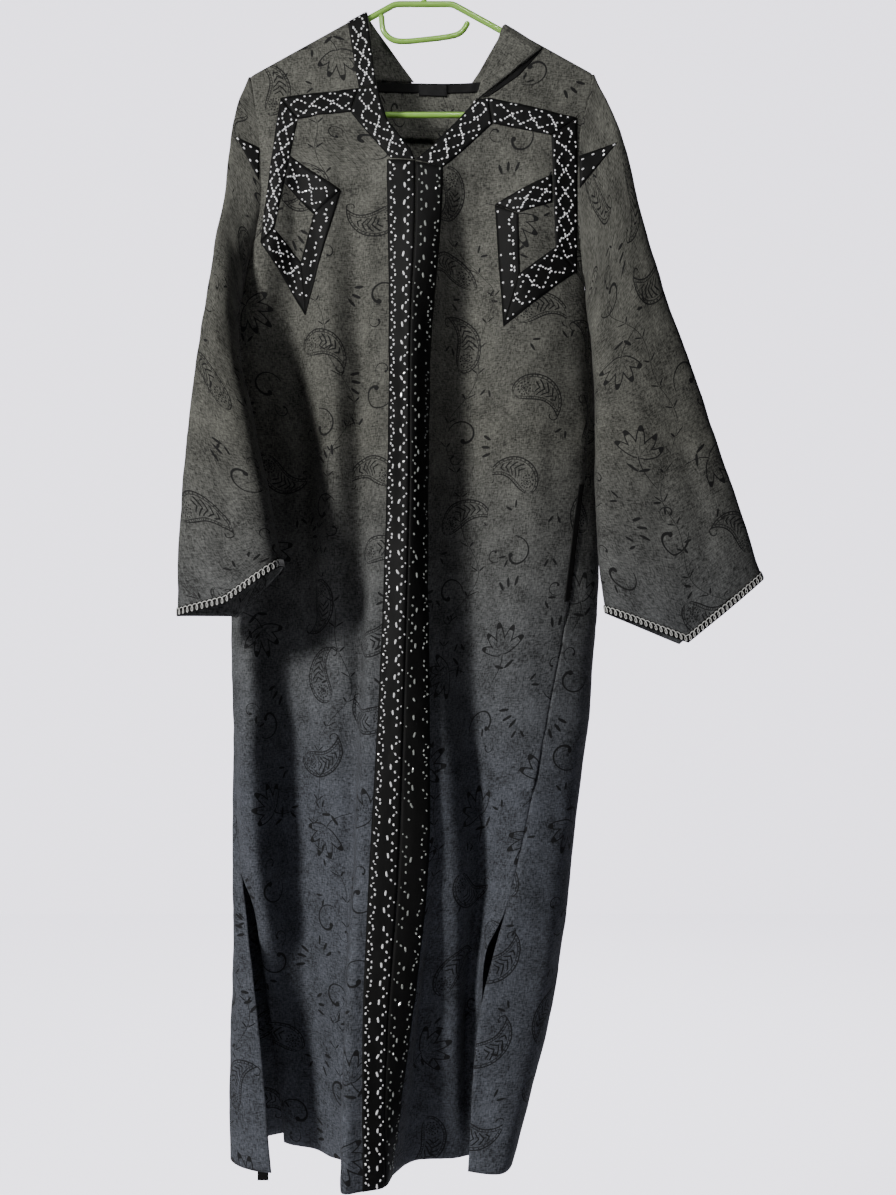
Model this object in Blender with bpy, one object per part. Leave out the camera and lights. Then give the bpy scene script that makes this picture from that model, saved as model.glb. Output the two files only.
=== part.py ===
"""A long hooded robe hanging on a plastic clothes hanger.  Metres, +Z up, front faces -Y.

The origin is the inner top of the hanger's hook, where a rail carries it.  "right" and "left" are
the wearer's: right is -X, left is +X.

The body of the robe is one closed ring of cloth at every height.  A fold line is a line that runs
down the cloth, along the crown of a ridge, the bottom of a valley, a seam or an edge.  FOLDS gives
each one's place at nine heights, and a smooth curve through the fold lines gives the ring.  Each
panel is a stretch of that ring, sampled on a grid and given its wall thickness.
"""
import math

import bmesh
import bpy
import numpy as np
from mathutils import Vector

MM = 0.001

# ---- cloth ---------------------------------------------------------------------------------
WALL = 2.0 * MM               # thickness of a cloth panel
RIBBON_WALL = 1.0 * MM        # thickness of the black ribbon
SEAM_GAP = 0.3 * MM           # between two panels that are sewn together
LAY_GAP = 0.4 * MM            # between a panel and what is sewn on it
RIBBON_INSET = 0.2 * MM       # drawn in at each mitre, so neighbours stay apart

# ---- levels and reach ----------------------------------------------------------------------
HEM_Z = -1519.0 * MM
WAIST_Z = -700.0 * MM
SHOULDER_X = 97.5 * MM        # a point of the shoulder line, half way along the neck end
SHOULDER_Z = -103.4 * MM
SHOULDER_SLOPE = 0.5547       # 29 degrees, the slope of the hanger's arms
SHOULDER_MIDDLE = 145.0 * MM
SHOULDER_ROUND = 7.0 * MM     # radius of the cloth over the hanger's arm
SHOULDER_EASE = 120.0 * MM    # drop over which the folds grow to their full depth
UNDERARM_Z = -432.0 * MM
UNDERARM_X = 214.0 * MM
ARMHOLE_HALF_DEPTH = 15.0 * MM
SLIT_TOP_RIGHT = -1152.0 * MM
SLIT_TOP_LEFT = -1195.0 * MM
SLIT_SPREAD_RIGHT = (-8.0 * MM, 96.0 * MM)   # front edge behind the back panel's edge, at the hem
SLIT_SPREAD_LEFT = (40.0 * MM, 62.0 * MM)
SLIT_DRAW_IN = 12.0 * MM      # the front edge also draws back from the slit, just below its top
SLIT_OPENS_OVER = 60.0 * MM

LEVELS = MM * np.array([-165, -250, -350, -500, -700, -900, -1150, -1330, -1519], dtype=float)

# name, x at each level, y at each level (mm), cells up to the next line
FOLDS = (
    ("centre", (-11, -10, -10, -16, -17, -22, -30, -42, -47),
     (-30, -34, -40, -46, -48, -52, -62, -76, -84), 2),
    ("band_r", (-46, -45, -44, -42, -45, -52, -65, -72, -71),
     (-24, -30, -34, -32, -32, -44, -60, -80, -98), 2),
    ("flap_r", (-71, -68, -63, -59, -59, -64, -76, -82, -87),
     (-22, -26, -30, -26, -28, -42, -58, -82, -105), 2),
    ("dip_r", (-96, -94, -91, -77, -77, -80, -91, -98, -103),
     (-22, -26, -26, -12, -10, -14, -16, -12, -8), 2),
    ("crown_r", (-122, -121, -121, -113, -106, -104, -109, -110, -111),
     (-22, -26, -28, -28, -24, -18, -10, 0, -2), 3),
    ("valley_r", (-153, -152, -159, -169, -151, -171, -162, -152, -143),
     (-22, -24, -14, 12, 26, 24, 26, 34, 30), 3),
    ("ridge_r", (-182, -177, -182, -215, -219, -218, -209, -185, -175),
     (-20, -24, -24, -4, -6, -18, -24, 22, 44), 2),
    ("seam_r", (-216, -204, -205, -243, -243, -243, -229, -205, -185),
     (0, 0, 0, 14, 26, 22, 0, -28, -46), 2),
    ("wrap_r", (-200, -192, -190, -238, -239, -240, -240, -228, -212),
     (18, 22, 24, 38, 42, 38, 14, -18, -38), 2),
    ("turn_r", (-182, -176, -172, -224, -226, -228, -238, -242, -240),
     (24, 28, 30, 48, 54, 54, 38, 8, -6), 3),
    ("back_ridge_r", (-130, -128, -125, -165, -170, -175, -200, -216, -226),
     (30, 34, 38, 60, 68, 72, 80, 62, 48), 3),
    ("back_valley_r", (-74, -74, -77, -95, -100, -108, -132, -152, -165),
     (30, 32, 34, 44, 48, 52, 52, 68, 84), 1),
    ("nape_r", (-68, -66, -66, -80, -84, -90, -112, -134, -149),
     (31, 33, 35, 46, 50, 55, 56, 71, 86), 3),
    ("back_mid", (0, 0, 0, -5, -8, -12, -25, -48, -68),
     (32, 36, 40, 58, 66, 74, 84, 92, 96), 3),
    ("nape_l", (99, 95, 92, 86, 88, 82, 54, 22, -4),
     (31, 33, 35, 47, 51, 55, 57, 67, 67), 1),
    ("back_valley_l", (103, 102, 100, 100, 102, 96, 68, 36, 8),
     (30, 32, 34, 46, 50, 54, 56, 66, 66), 2),
    ("back_ridge_l", (138, 136, 132, 150, 158, 148, 118, 86, 56),
     (30, 34, 38, 58, 64, 72, 82, 88, 92), 3),
    ("turn_l", (182, 174, 168, 204, 218, 214, 186, 162, 111),
     (24, 28, 30, 46, 42, 32, 30, 26, 2), 2),
    ("wrap_l", (198, 184, 182, 211, 219, 205, 169, 144, 92),
     (16, 20, 22, 28, 14, 0, -12, -22, -50), 2),
    ("seam_l", (210, 194, 192, 206, 197, 166, 115, 69, 54),
     (0, 0, 0, 4, -10, -20, -24, -36, -42), 2),
    ("crown_l", (144, 141, 131, 128, 137, 119, 91, 65, 67),
     (-22, -26, -30, -26, -24, -22, -10, 0, 14), 3),
    ("valley_l", (94, 94, 49, 44, 46, 55, 75, 55, 55),
     (-22, -24, -10, 8, 12, 14, 8, 6, 8), 2),
    ("pleat_l", (63, 62, 39, 30, 31, 20, 35, 42, 42),
     (-22, -26, -14, 0, 2, -22, -34, -20, 0), 2),
    ("step_l", (42, 41, 31, 18, 18, 13, 18, -5, -13),
     (-24, -28, -24, -12, -12, -28, -36, -22, -10), 2),
    ("band_l", (28, 25, 21, 8, 5, 6, 5, -15, -39),
     (-26, -30, -34, -26, -28, -38, -52, -58, -56), 2),
)
NAMES = [row[0] for row in FOLDS]
FOLD_X = MM * np.array([row[1] for row in FOLDS], dtype=float)
FOLD_Y = MM * np.array([row[2] for row in FOLDS], dtype=float)
CELLS = [row[3] for row in FOLDS]
COUNT = len(FOLDS)
SEAM_R = NAMES.index("seam_r")
SEAM_L = NAMES.index("seam_l")

# neck edges, x and z in mm, from the shoulder line to the foot of the V, or across the back
FRONT_RIGHT_NECK = ((-71, -89), (-67, -106), (-61, -166), (-57, -190), (-45, -231), (-15, -271),
                    (-10, -283.4))
FRONT_LEFT_NECK = ((99, -104), (84, -148), (72, -178), (63, -207), (39, -235), (8, -268), (-10, -283.4))
BACK_NECK = ((-72, -89), (-18, -164), (62, -165), (98, -109.5), (102, -106))
NECK_FOOT = (-10.0 * MM, -283.4 * MM)

# rows just below the shoulder line
TOP_DROPS = (0.0, 2.4 * MM, 7.0 * MM, 20.0 * MM, 45.0 * MM, 75.0 * MM)
NECK_ROWS = 4                 # further rows down to the foot of the V, the underarm, the slits, the hem
UNDERARM_ROWS = 3
SKIRT_ROWS = 11
SLIT_ROWS = 5
LEVEL_AFTER = 320.0 * MM      # drop over which the rows turn level
SAG_FADES_AFTER = 450.0 * MM  # drop over which the rows lose the back neck's dip

# ---- sleeves: outer x, z, inner x, z, middle y, half depth (mm) -------------------------------
SLEEVE_RIGHT = ((-218, -172, -226, -432, 6, 16), (-232, -206, -232, -438, 5, 19),
                (-240, -257, -236, -446, 1, 23), (-247, -330, -238, -458, -11, 26),
                (-256, -400, -235, -478, -28, 30), (-265, -480, -222, -530, -46, 38),
                (-274, -563, -205, -600, -62, 43), (-283, -667, -187, -685, -75, 46),
                (-288, -757, -175, -745, -82, 48), (-287, -841, -167, -783, -86, 50))
SLEEVE_LEFT = ((216, -172, 202, -435, 0, 16), (235, -212, 206, -440, 0, 19),
               (247, -250, 209, -450, -2, 22), (269, -341, 211, -476, -4, 25),
               (284, -396, 212, -503, -5, 27), (305, -463, 213, -545, -6, 28),
               (335, -548, 213.5, -606, -8, 30), (366, -636, 214, -680, -10, 31),
               (395, -723, 217, -763, -12, 32), (418, -796, 227, -838, -12, 32))
CUFF_DIP_RIGHT = (14.0 * MM, 30.0 * MM)      # the cuff hangs lower mid-way, front and back
CUFF_DIP_LEFT = (57.0 * MM, 61.0 * MM)
BRAID_WIDTH = 10.0 * MM
BRAID_WALL = 1.5 * MM
SLEEVE_ROWS = 11
ARMHOLE_REACH = 0.30          # of the sleeve's length, over which its head takes up its own form
ELBOW_T = 0.5                 # of the sleeve's length, where its two lengths meet
UNDERARM_CLEAR = 2.0 * MM     # the sleeve's head stands this much further out where the armhole turns
SHOULDER_CLEAR = 1.2 * MM
UNDERARM_RAISE = 1.5 * MM

# ---- ribbon outlines on the panels, x and z in mm -----------------------------------------------
NECK_RIGHT_UPPER = ((-98, -70), (-60, -70), (-45, -186), (-80, -191))
NECK_RIGHT_LOWER = ((-80, -191), (-45, -186), (-5, -265), (-5, -284), (-10, -283.4), (-40, -281),
                    (-90, -222))
NECK_LEFT = ((63, -207), (79, -203), (85, -236), (24, -292), (-10, -283.4), (-10, -260), (30, -225))
NECK_LEFT_UPPER = ((147, -137), (72, -203.4), (80, -202), (118, -173))
CENTRE_RIGHT = ((-10, -283.4), (-40, -281), (-160, -271), (-160, -1530), (60, -1530), (60, -289))
CENTRE_LEFT = ((-10, -283.4), (-160, -247), (-160, -1530), (120, -1530), (120, -315))
# each motif: outer x, z, inner x, z at its mitres
MOTIF_LEFT = ((79, -203, 85, -236), (190, -225, 157, -250), (190, -414, 162, -387),
              (100, -484, 119, -420), (88, -333, 117, -347), (158, -298, 158, -333))
MOTIF_RIGHT = ((-80, -191, -90, -222), (-177, -200, -155, -229), (-201, -380, -184, -364),
               (-147, -468, -153, -401), (-101, -319, -135, -347), (-165, -274, -172, -309))
LENGTH_NAMES = ("top", "outer", "lower", "inner", "upper")
SPIKE_LEFT = ((196, -276), (240, -257), (197, -312))
SPIKE_RIGHT = ((-206, -266), (-226, -242), (-233, -262), (-207, -300))
HOOD_FOLD = ((90, -80), (150, -80), (146, -135), (67, -206), (57, -202))
HOOD_CORNER = ((-66, -99), (-12, -163.6), (-66, -163.6))
FACING = ((-72, -164.1), (78, -164.1), (78, -177), (-66, -177))
LABEL = ((-16, -162), (55, -162), (55, -181), (-16, -181))
POCKET_WELT = ((190, -678), (206, -678), (190, -825), (168, -825))

# ---- hood -------------------------------------------------------------------------------------
HOOD_TIP_Z = -520.0 * MM
HOOD_ROWS = 8
HOOD_SIDES = 20
# fraction of the way down, half width, half depth, middle y (mm)
HOOD_SECTIONS = ((0.0, 104, 16, 50.6), (0.15, 116, 19, 60), (0.4, 112, 21, 76), (0.7, 78, 19, 90),
                 (0.9, 38, 14, 96), (1.0, 14, 8, 99))

# ---- hanger -----------------------------------------------------------------------------------
ROD_R = 3.8 * MM
STRAP_ROD_R = 3.5 * MM
BAR_Z = -216.0 * MM
TOP_BAR_HALF = 36.0 * MM
TOP_BAR_Z = -77.5 * MM
TIP_X = 203.0 * MM
TIP_BELOW_SHOULDER = 7.2 * MM # the arm's middle line below the shoulder line, at the tip
HOOK_R = 25.5 * MM            # radius of the hook's middle line
HOOK_ROD_R = 3.5 * MM

CLOTH = ("cloth", (0.055, 0.056, 0.056), 0.85)
RIBBON = ("ribbon", (0.008, 0.008, 0.008), 0.35)
BRAID = ("braid", (0.45, 0.45, 0.44), 0.4)
PLASTIC = ("hanger_plastic", (0.30, 0.55, 0.08), 0.4)


# ---- curves and fields ----------------------------------------------------------------------
def smooth_levels(levels, values, z):
    """Cubic through values[k] at the falling levels, at each z.  Level above the first one."""
    rising = -levels
    place = np.clip(-z, rising[0], rising[-1])
    low = np.clip(np.searchsorted(rising, place, side="right") - 1, 0, len(levels) - 2)
    slopes = np.zeros_like(values)
    slopes[:, 1:-1] = (values[:, 2:] - values[:, :-2]) / (rising[2:] - rising[:-2])
    slopes[:, -1] = (values[:, -1] - values[:, -2]) / (rising[-1] - rising[-2])
    span = rising[low + 1] - rising[low]
    t = (place - rising[low]) / span
    a = values[:, low]
    b = values[:, low + 1]
    ma = slopes[:, low] * span
    mb = slopes[:, low + 1] * span
    return hermite(a, b, ma, mb, t)


def hermite(a, b, ma, mb, t):
    """Cubic from a to b with end slopes ma and mb, at t from 0 to 1."""
    t2 = t * t
    t3 = t2 * t
    return (2 * t3 - 3 * t2 + 1) * a + (t3 - 2 * t2 + t) * ma + (3 * t2 - 2 * t3) * b + (t3 - t2) * mb


def smoothstep(t):
    """0 below 0, 1 above 1, and level at both ends."""
    t = np.clip(t, 0.0, 1.0)
    return t * t * (3.0 - 2.0 * t)


def shoulder_z(x):
    """Height of the shoulder line, which keeps its slope past the neck."""
    return SHOULDER_Z - (np.abs(x) - SHOULDER_X) * SHOULDER_SLOPE


def armhole_half(z):
    """Half the depth of the armhole: full above, closing like an ellipse at the underarm."""
    return ARMHOLE_HALF_DEPTH * np.sqrt(np.clip((z - UNDERARM_Z) / (90 * MM), 0.0, 1.0))


def ring(s, z, side):
    """Points of the body's ring at place s along the fold lines and height z.

    side is -1 for the fronts and +1 for the back.  They part at the armholes and at the slits, where
    each one's curve runs straight on past its edge."""
    s = np.asarray(s, dtype=float)
    z = np.broadcast_to(np.asarray(z, dtype=float), s.shape)
    flat_s = s.ravel()
    flat_z = z.ravel()
    xs = smooth_levels(LEVELS, FOLD_X, flat_z)
    ys = smooth_levels(LEVELS, FOLD_Y, flat_z)
    half = armhole_half(flat_z)
    ys[SEAM_R] += side * half
    ys[SEAM_L] += side * half
    if side < 0:
        for seam, top, spread, inward in ((SEAM_R, SLIT_TOP_RIGHT, SLIT_SPREAD_RIGHT, 1),
                                          (SEAM_L, SLIT_TOP_LEFT, SLIT_SPREAD_LEFT, -1)):
            opened = smoothstep((top - flat_z) / (top - HEM_Z))
            drawn_in = SLIT_DRAW_IN * smoothstep((top - flat_z) / SLIT_OPENS_OVER)
            xs[seam] += opened * spread[0] + inward * drawn_in
            ys[seam] += opened * spread[1]
    for seam, top, outwards in ((SEAM_R, SLIT_TOP_RIGHT, 1), (SEAM_L, SLIT_TOP_LEFT, -1)):
        beyond = seam - side * outwards
        within = seam + side * outwards
        apart = np.maximum(half / ARMHOLE_HALF_DEPTH, smoothstep((top - flat_z) / SLIT_OPENS_OVER))
        xs[beyond] += apart * (2 * xs[seam] - xs[within] - xs[beyond])
        ys[beyond] += apart * (2 * ys[seam] - ys[within] - ys[beyond])
    k = np.floor(flat_s).astype(int)
    t = flat_s - k
    pick = np.arange(flat_s.size)
    knots = [np.stack([xs[(k + j) % COUNT, pick], ys[(k + j) % COUNT, pick]], axis=-1)
             for j in (-1, 0, 1, 2)]
    chords = [np.linalg.norm(knots[j + 1] - knots[j], axis=-1)[:, None] + 1e-6 for j in range(3)]
    slope_a = ((knots[2] - knots[1]) / chords[1] * chords[0]
               + (knots[1] - knots[0]) / chords[0] * chords[1]) / (chords[0] + chords[1])
    slope_b = ((knots[3] - knots[2]) / chords[2] * chords[1]
               + (knots[2] - knots[1]) / chords[1] * chords[2]) / (chords[1] + chords[2])
    point = hermite(knots[1], knots[2], slope_a * chords[1], slope_b * chords[1], t[:, None])
    x = point[:, 0]
    drop = np.maximum(shoulder_z(x) - flat_z, 0.0)
    depth = smoothstep(drop / SHOULDER_EASE)
    turn = np.sqrt(1.0 - (1.0 - np.minimum(drop, SHOULDER_ROUND) / SHOULDER_ROUND) ** 2)
    y = point[:, 1] * depth + side * SHOULDER_ROUND * turn * (1.0 - depth) + side * SEAM_GAP / 2
    return np.stack([x, y, flat_z], axis=-1).reshape(s.shape + (3,))


def ring_directions(s, z, side, top):
    """Unit tangents along the ring and outward normals of the body's surface."""
    small_s = 0.02
    small_z = 1.0 * MM
    tangent = ring(s + small_s, z, side) - ring(s - small_s, z, side)
    down = ring(s, z - small_z, side) - ring(s, np.minimum(z + small_z, top), side)
    normals = np.cross(tangent, down)
    normals /= np.linalg.norm(normals, axis=-1, keepdims=True)
    return tangent / np.linalg.norm(tangent, axis=-1, keepdims=True), normals


def grid_normals(points, closed=False):
    """Outward normals of a grid whose rows run down and whose columns run along the ring."""
    down = np.gradient(points, axis=0)
    if closed:
        padded = np.concatenate([points[:, -1:], points, points[:, :1]], axis=1)
        along = (padded[:, 2:] - padded[:, :-2]) / 2
    else:
        along = np.gradient(points, axis=1)
    normals = np.cross(along, down)
    return normals / (np.linalg.norm(normals, axis=-1, keepdims=True) + 1e-12)


# ---- solids -----------------------------------------------------------------------------------
def clear_scene():
    for item in list(bpy.data.objects):
        bpy.data.objects.remove(item, do_unlink=True)


def material(finish):
    name, colour, roughness = finish
    found = bpy.data.materials.get(name)
    if found is None:
        found = bpy.data.materials.new(name)
        found.use_nodes = True
        shader = found.node_tree.nodes["Principled BSDF"]
        shader.inputs["Base Color"].default_value = colour + (1.0,)
        shader.inputs["Roughness"].default_value = roughness
        shader.inputs["Metallic"].default_value = 0.0
    return found


def add_object(name, points, faces, finish):
    mesh = bpy.data.meshes.new(name)
    mesh.from_pydata([tuple(p) for p in points], [], [tuple(int(i) for i in f) for f in faces])
    mesh.validate()
    mesh.materials.append(material(finish))
    item = bpy.data.objects.new(name, mesh)
    bpy.context.collection.objects.link(item)
    return item


def grid_triangles(rows, columns, closed=False):
    """Two triangles for each cell of a grid, facing the way its normals do."""
    r, c = np.meshgrid(np.arange(rows - 1), np.arange(columns if closed else columns - 1), indexing="ij")
    a = (r * columns + c).ravel()
    b = (r * columns + (c + 1) % columns).ravel()
    d = ((r + 1) * columns + c).ravel()
    e = ((r + 1) * columns + (c + 1) % columns).ravel()
    return np.concatenate([np.stack([a, b, d], axis=1), np.stack([b, e, d], axis=1)])


def shell(name, outer, inner, triangles, finish):
    """A closed solid between two copies of one open sheet.  The rim joins their free edges."""
    count = len(outer)
    edges = np.concatenate([triangles[:, [0, 1]], triangles[:, [1, 2]], triangles[:, [2, 0]]])
    keys = edges[:, 0] * count + edges[:, 1]
    twins = edges[:, 1] * count + edges[:, 0]
    free = edges[~np.isin(keys, twins)]
    start, end = free.T
    rises = (outer[start, 2] < outer[end, 2])[:, None]
    rim = np.concatenate([
        np.where(rises, np.stack([end, start, end + count], axis=1), np.stack([end, start, start + count], axis=1)),
        np.where(rises, np.stack([start, start + count, end + count], axis=1),
                 np.stack([end, start + count, end + count], axis=1))])
    faces = np.concatenate([triangles, triangles[:, ::-1] + count, rim])
    return add_object(name, np.concatenate([outer, inner]), faces, finish)


def two_sheets(points, normals, closed=False):
    """The outer and inner sheets of a cloth wall about a middle surface."""
    rows, columns = points.shape[:2]
    return {"outer": (points + normals * WALL / 2).reshape(-1, 3),
            "inner": (points - normals * WALL / 2).reshape(-1, 3),
            "triangles": grid_triangles(rows, columns, closed), "columns": columns}


def wall(name, points, normals, finish, closed=False):
    """A cloth wall about the middle surface.  Returns its outer and inner sheets."""
    sheet = two_sheets(points, normals, closed)
    shell(name, sheet["outer"], sheet["inner"], sheet["triangles"], finish)
    return sheet


def two_lengths(upper_name, lower_name, points, normals, row, closed=False):
    """A wall made in two lengths that end a seam gap apart at one row of its grid."""
    upper = points[:row + 1].copy()
    lower = points[row:].copy()
    upper[-1, :, 2] += SEAM_GAP / 2
    lower[0, :, 2] -= SEAM_GAP / 2
    wall(upper_name, upper, normals[:row + 1], CLOTH, closed)
    wall(lower_name, lower, normals[row:], CLOTH, closed)


def clip_sheet(points, triangles, outline):
    """The part of a sheet inside a convex outline in x and z, drawn in a little all round."""
    work = bmesh.new()
    corners = [work.verts.new(p) for p in points]
    for tri in triangles:
        work.faces.new([corners[i] for i in tri])
    line = MM * np.array(outline, dtype=float)
    middle = line.mean(axis=0)
    for start, end in zip(line, np.roll(line, -1, axis=0)):
        normal = np.array([end[1] - start[1], start[0] - end[0]])
        normal = normal / np.linalg.norm(normal)
        if normal @ (middle - start) > 0:
            normal = -normal
        place = start - normal * RIBBON_INSET
        bmesh.ops.bisect_plane(work, geom=work.verts[:] + work.edges[:] + work.faces[:], dist=1e-6,
                               plane_co=Vector((place[0], 0.0, place[1])),
                               plane_no=Vector((normal[0], 0.0, normal[1])), clear_outer=True)
    bmesh.ops.remove_doubles(work, verts=work.verts[:], dist=0.05 * MM)
    bmesh.ops.dissolve_degenerate(work, edges=work.edges[:], dist=0.05 * MM)
    bmesh.ops.triangulate(work, faces=work.faces[:])
    loose = [v for v in work.verts if not v.link_faces]
    bmesh.ops.delete(work, geom=loose, context="VERTS")
    work.verts.index_update()
    clipped = np.array([v.co[:] for v in work.verts])
    faces = np.array([[v.index for v in f.verts] for f in work.faces])
    work.free()
    return clipped, faces


def lay_on(name, sheet, outline, finish, gap=LAY_GAP, thickness=RIBBON_WALL, side="outer", columns=None):
    """A piece sewn on a panel: the panel's own surface inside an outline, moved forwards."""
    triangles = sheet["triangles"]
    if columns is not None:
        column = triangles % sheet["columns"]
        keep = (column >= columns[0]).all(axis=1) & (column <= columns[1]).all(axis=1)
        triangles = triangles[keep]
    if side == "inner":
        triangles = triangles[:, ::-1]
    points, faces = clip_sheet(sheet[side], triangles, outline)
    forwards = np.array([0.0, -1.0, 0.0])
    shell(name, points + forwards * (gap + thickness), points + forwards * gap, faces, finish)


def tube(name, path, radius, finish, sides=10, closed=False):
    """A round rod along a path of points, with flat ends unless the path is closed."""
    path = np.asarray(path, dtype=float)
    count = len(path)
    if closed:
        tangent = np.roll(path, -1, axis=0) - np.roll(path, 1, axis=0)
    else:
        tangent = np.gradient(path, axis=0)
    tangent /= np.linalg.norm(tangent, axis=1, keepdims=True)
    side = np.broadcast_to(np.array([0.0, 1.0, 0.0]), tangent.shape)
    up = np.cross(side, tangent)
    up /= np.linalg.norm(up, axis=1, keepdims=True)
    turn = np.linspace(0, 2 * math.pi, sides, endpoint=False)
    rings = (path[:, None, :] + radius * (np.cos(turn)[None, :, None] * up[:, None, :]
                                          + np.sin(turn)[None, :, None] * side[:, None, :]))
    faces = []
    last = count if closed else count - 1
    for i in range(last):
        j = (i + 1) % count
        for a in range(sides):
            b = (a + 1) % sides
            faces.append((i * sides + a, i * sides + b, j * sides + b, j * sides + a))
    if not closed:
        faces.append(tuple(range(sides))[::-1])
        faces.append(tuple((count - 1) * sides + a for a in range(sides)))
    item = add_object(name, rings.reshape(-1, 3), faces, finish)
    fix = bmesh.new()
    fix.from_mesh(item.data)
    bmesh.ops.recalc_face_normals(fix, faces=fix.faces[:])
    bmesh.ops.triangulate(fix, faces=fix.faces[:])
    fix.to_mesh(item.data)
    fix.free()
    return item


# ---- panels -----------------------------------------------------------------------------------
def places(first, last):
    """Places along the ring from one fold line to another, each span cut into its own cells."""
    spans = []
    for k in range(first, last):
        cells = CELLS[k % COUNT]
        spans.append(k + np.arange(cells) / cells)
    return np.concatenate(spans + [np.array([float(last)])])


def row_height(drop, x):
    """Height at x of the row that lies drop below the shoulder line: sloped above, level below."""
    level = smoothstep(drop / LEVEL_AFTER)
    middle = shoulder_z(SHOULDER_MIDDLE)
    return middle - drop + (shoulder_z(x) - middle) * (1.0 - level)


def row_drops():
    """Drops of all rows.  Rows pass through the foot of the V, the underarms and the slit tops."""
    middle = float(shoulder_z(SHOULDER_MIDDLE))
    foot = 0.2
    underarm = 0.3
    for _ in range(30):
        foot += row_height(foot, NECK_FOOT[0]) - NECK_FOOT[1]
        underarm += row_height(underarm, UNDERARM_X) - UNDERARM_Z
    stops = (TOP_DROPS[-1], foot, underarm, middle - SLIT_TOP_RIGHT, middle - SLIT_TOP_LEFT, middle - HEM_Z)
    counts = (NECK_ROWS, UNDERARM_ROWS, SKIRT_ROWS, 1, SLIT_ROWS)
    runs = [np.linspace(a, b, n + 1)[1:] for a, b, n in zip(stops, stops[1:], counts)]
    return np.concatenate([TOP_DROPS] + runs)


def panel_wall(name, s, z, side, top, skirt=None):
    """The wall of a panel whose points lie at s and z, with square rims at its seams.  With a name for
    its skirt it is made in two lengths, a seam gap apart at the row nearest the waist."""
    points = ring(s, z, side)
    tangent, normals = ring_directions(s, z, side, top)
    on_shoulder = np.abs(shoulder_z(points[0, :, 0]) - z[0]) < 1.0 * MM
    normals[0, on_shoulder, 1] = 0.0
    normals /= np.linalg.norm(normals, axis=-1, keepdims=True)
    points[:, 0] += tangent[:, 0] * SEAM_GAP / 2
    points[:, -1] -= tangent[:, -1] * SEAM_GAP / 2
    if skirt is None:
        return wall(name, points, normals, CLOTH)
    two_lengths(name, skirt, points, normals, int(np.argmin(np.abs(z[:, 0] - WAIST_Z))))
    return two_sheets(points, normals)


def front_panel(name, first, last, neck, skirt=None):
    """A front: its rows start at the neck edge, or lower down at the centre edge."""
    centre = first if first == 0 else last
    seam = last if first == 0 else first
    along = places(first, last)
    edge = MM * np.array(neck[::-1], dtype=float)
    rows_s = []
    rows_z = []
    for drop in row_drops():
        z = -0.2
        for _ in range(30):
            x = np.interp(z, edge[:, 1], edge[:, 0])
            z = 0.5 * z + 0.5 * row_height(drop, x)
        if z < NECK_FOOT[1] + 0.5 * MM:
            start = float(centre)
        else:
            near = np.linspace(centre, centre + (seam - centre) * 0.6, 400)
            x_near = ring(near, np.full(near.shape, z), -1)[:, 0]
            order = np.argsort(x_near)
            start = float(np.interp(x, x_near[order], near[order]))
        s = seam + (along - seam) * (start - seam) / (centre - seam)
        z_row = np.full(s.shape, z)
        for _ in range(12):
            z_row = row_height(drop, ring(s, z_row, -1)[:, 0])
        rows_s.append(s)
        rows_z.append(z_row)
    s = np.array(rows_s)
    z = np.array(rows_z)
    return panel_wall(name, s, z, -1, shoulder_z(ring(s, z, -1)[..., 0]), skirt)


def back_panel():
    """The back: its top row follows the shoulders and dips across the neck."""
    along = places(SEAM_R, SEAM_L)
    edge = MM * np.array(BACK_NECK, dtype=float)
    z_rows = []
    for drop in row_drops():
        kept = 1.0 - smoothstep(drop / SAG_FADES_AFTER)
        z_row = np.full(along.shape, -0.2)
        for _ in range(20):
            x = ring(along, z_row, 1)[:, 0]
            inside = (x > edge[0, 0]) & (x < edge[-1, 0])
            sag = np.where(inside, shoulder_z(x) - np.interp(x, edge[:, 0], edge[:, 1]), 0.0)
            z_row = 0.5 * z_row + 0.5 * (row_height(drop, x) - np.maximum(sag, 0.0) * kept)
        z_rows.append(z_row)
    z = np.array(z_rows)
    s = np.broadcast_to(along, z.shape).copy()
    return panel_wall("back_panel", s, z, 1, shoulder_z(ring(s, z, 1)[..., 0]))


# ---- sleeves ------------------------------------------------------------------------------------
def station_values(table, t):
    """The sleeve table's columns at t from 0 to 1, on a cubic through its rows."""
    values = MM * np.array(table, dtype=float).T
    levels = -np.linspace(0.0, 1.0, len(table))
    return smooth_levels(levels, values, -np.asarray(t, dtype=float))


def armhole_turns(seam):
    """Turns round a sleeve whose armhole points lie in the rows of the panels."""
    drops = row_drops()
    drops = drops[drops < float(shoulder_z(SHOULDER_MIDDLE)) - UNDERARM_Z - 5 * MM][1:]
    z = np.full(drops.shape, -0.3)
    for _ in range(20):
        z = row_height(drops, ring(np.full(drops.shape, float(seam)), z, -1)[:, 0])
    tip = armhole_tip(seam)
    down = np.arccos(np.clip(1 - 2 * (z - tip) / (UNDERARM_Z - tip), -1, 1))
    return np.concatenate([[0.0], down, [math.pi], (2 * math.pi - down)[::-1]])


def armhole_tip(seam):
    """Height of the armhole's top, on the shoulder line."""
    tip = -0.17
    for _ in range(10):
        tip = float(shoulder_z(ring(np.array([float(seam)]), np.array([tip]), -1)[0, 0]))
    return tip


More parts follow.
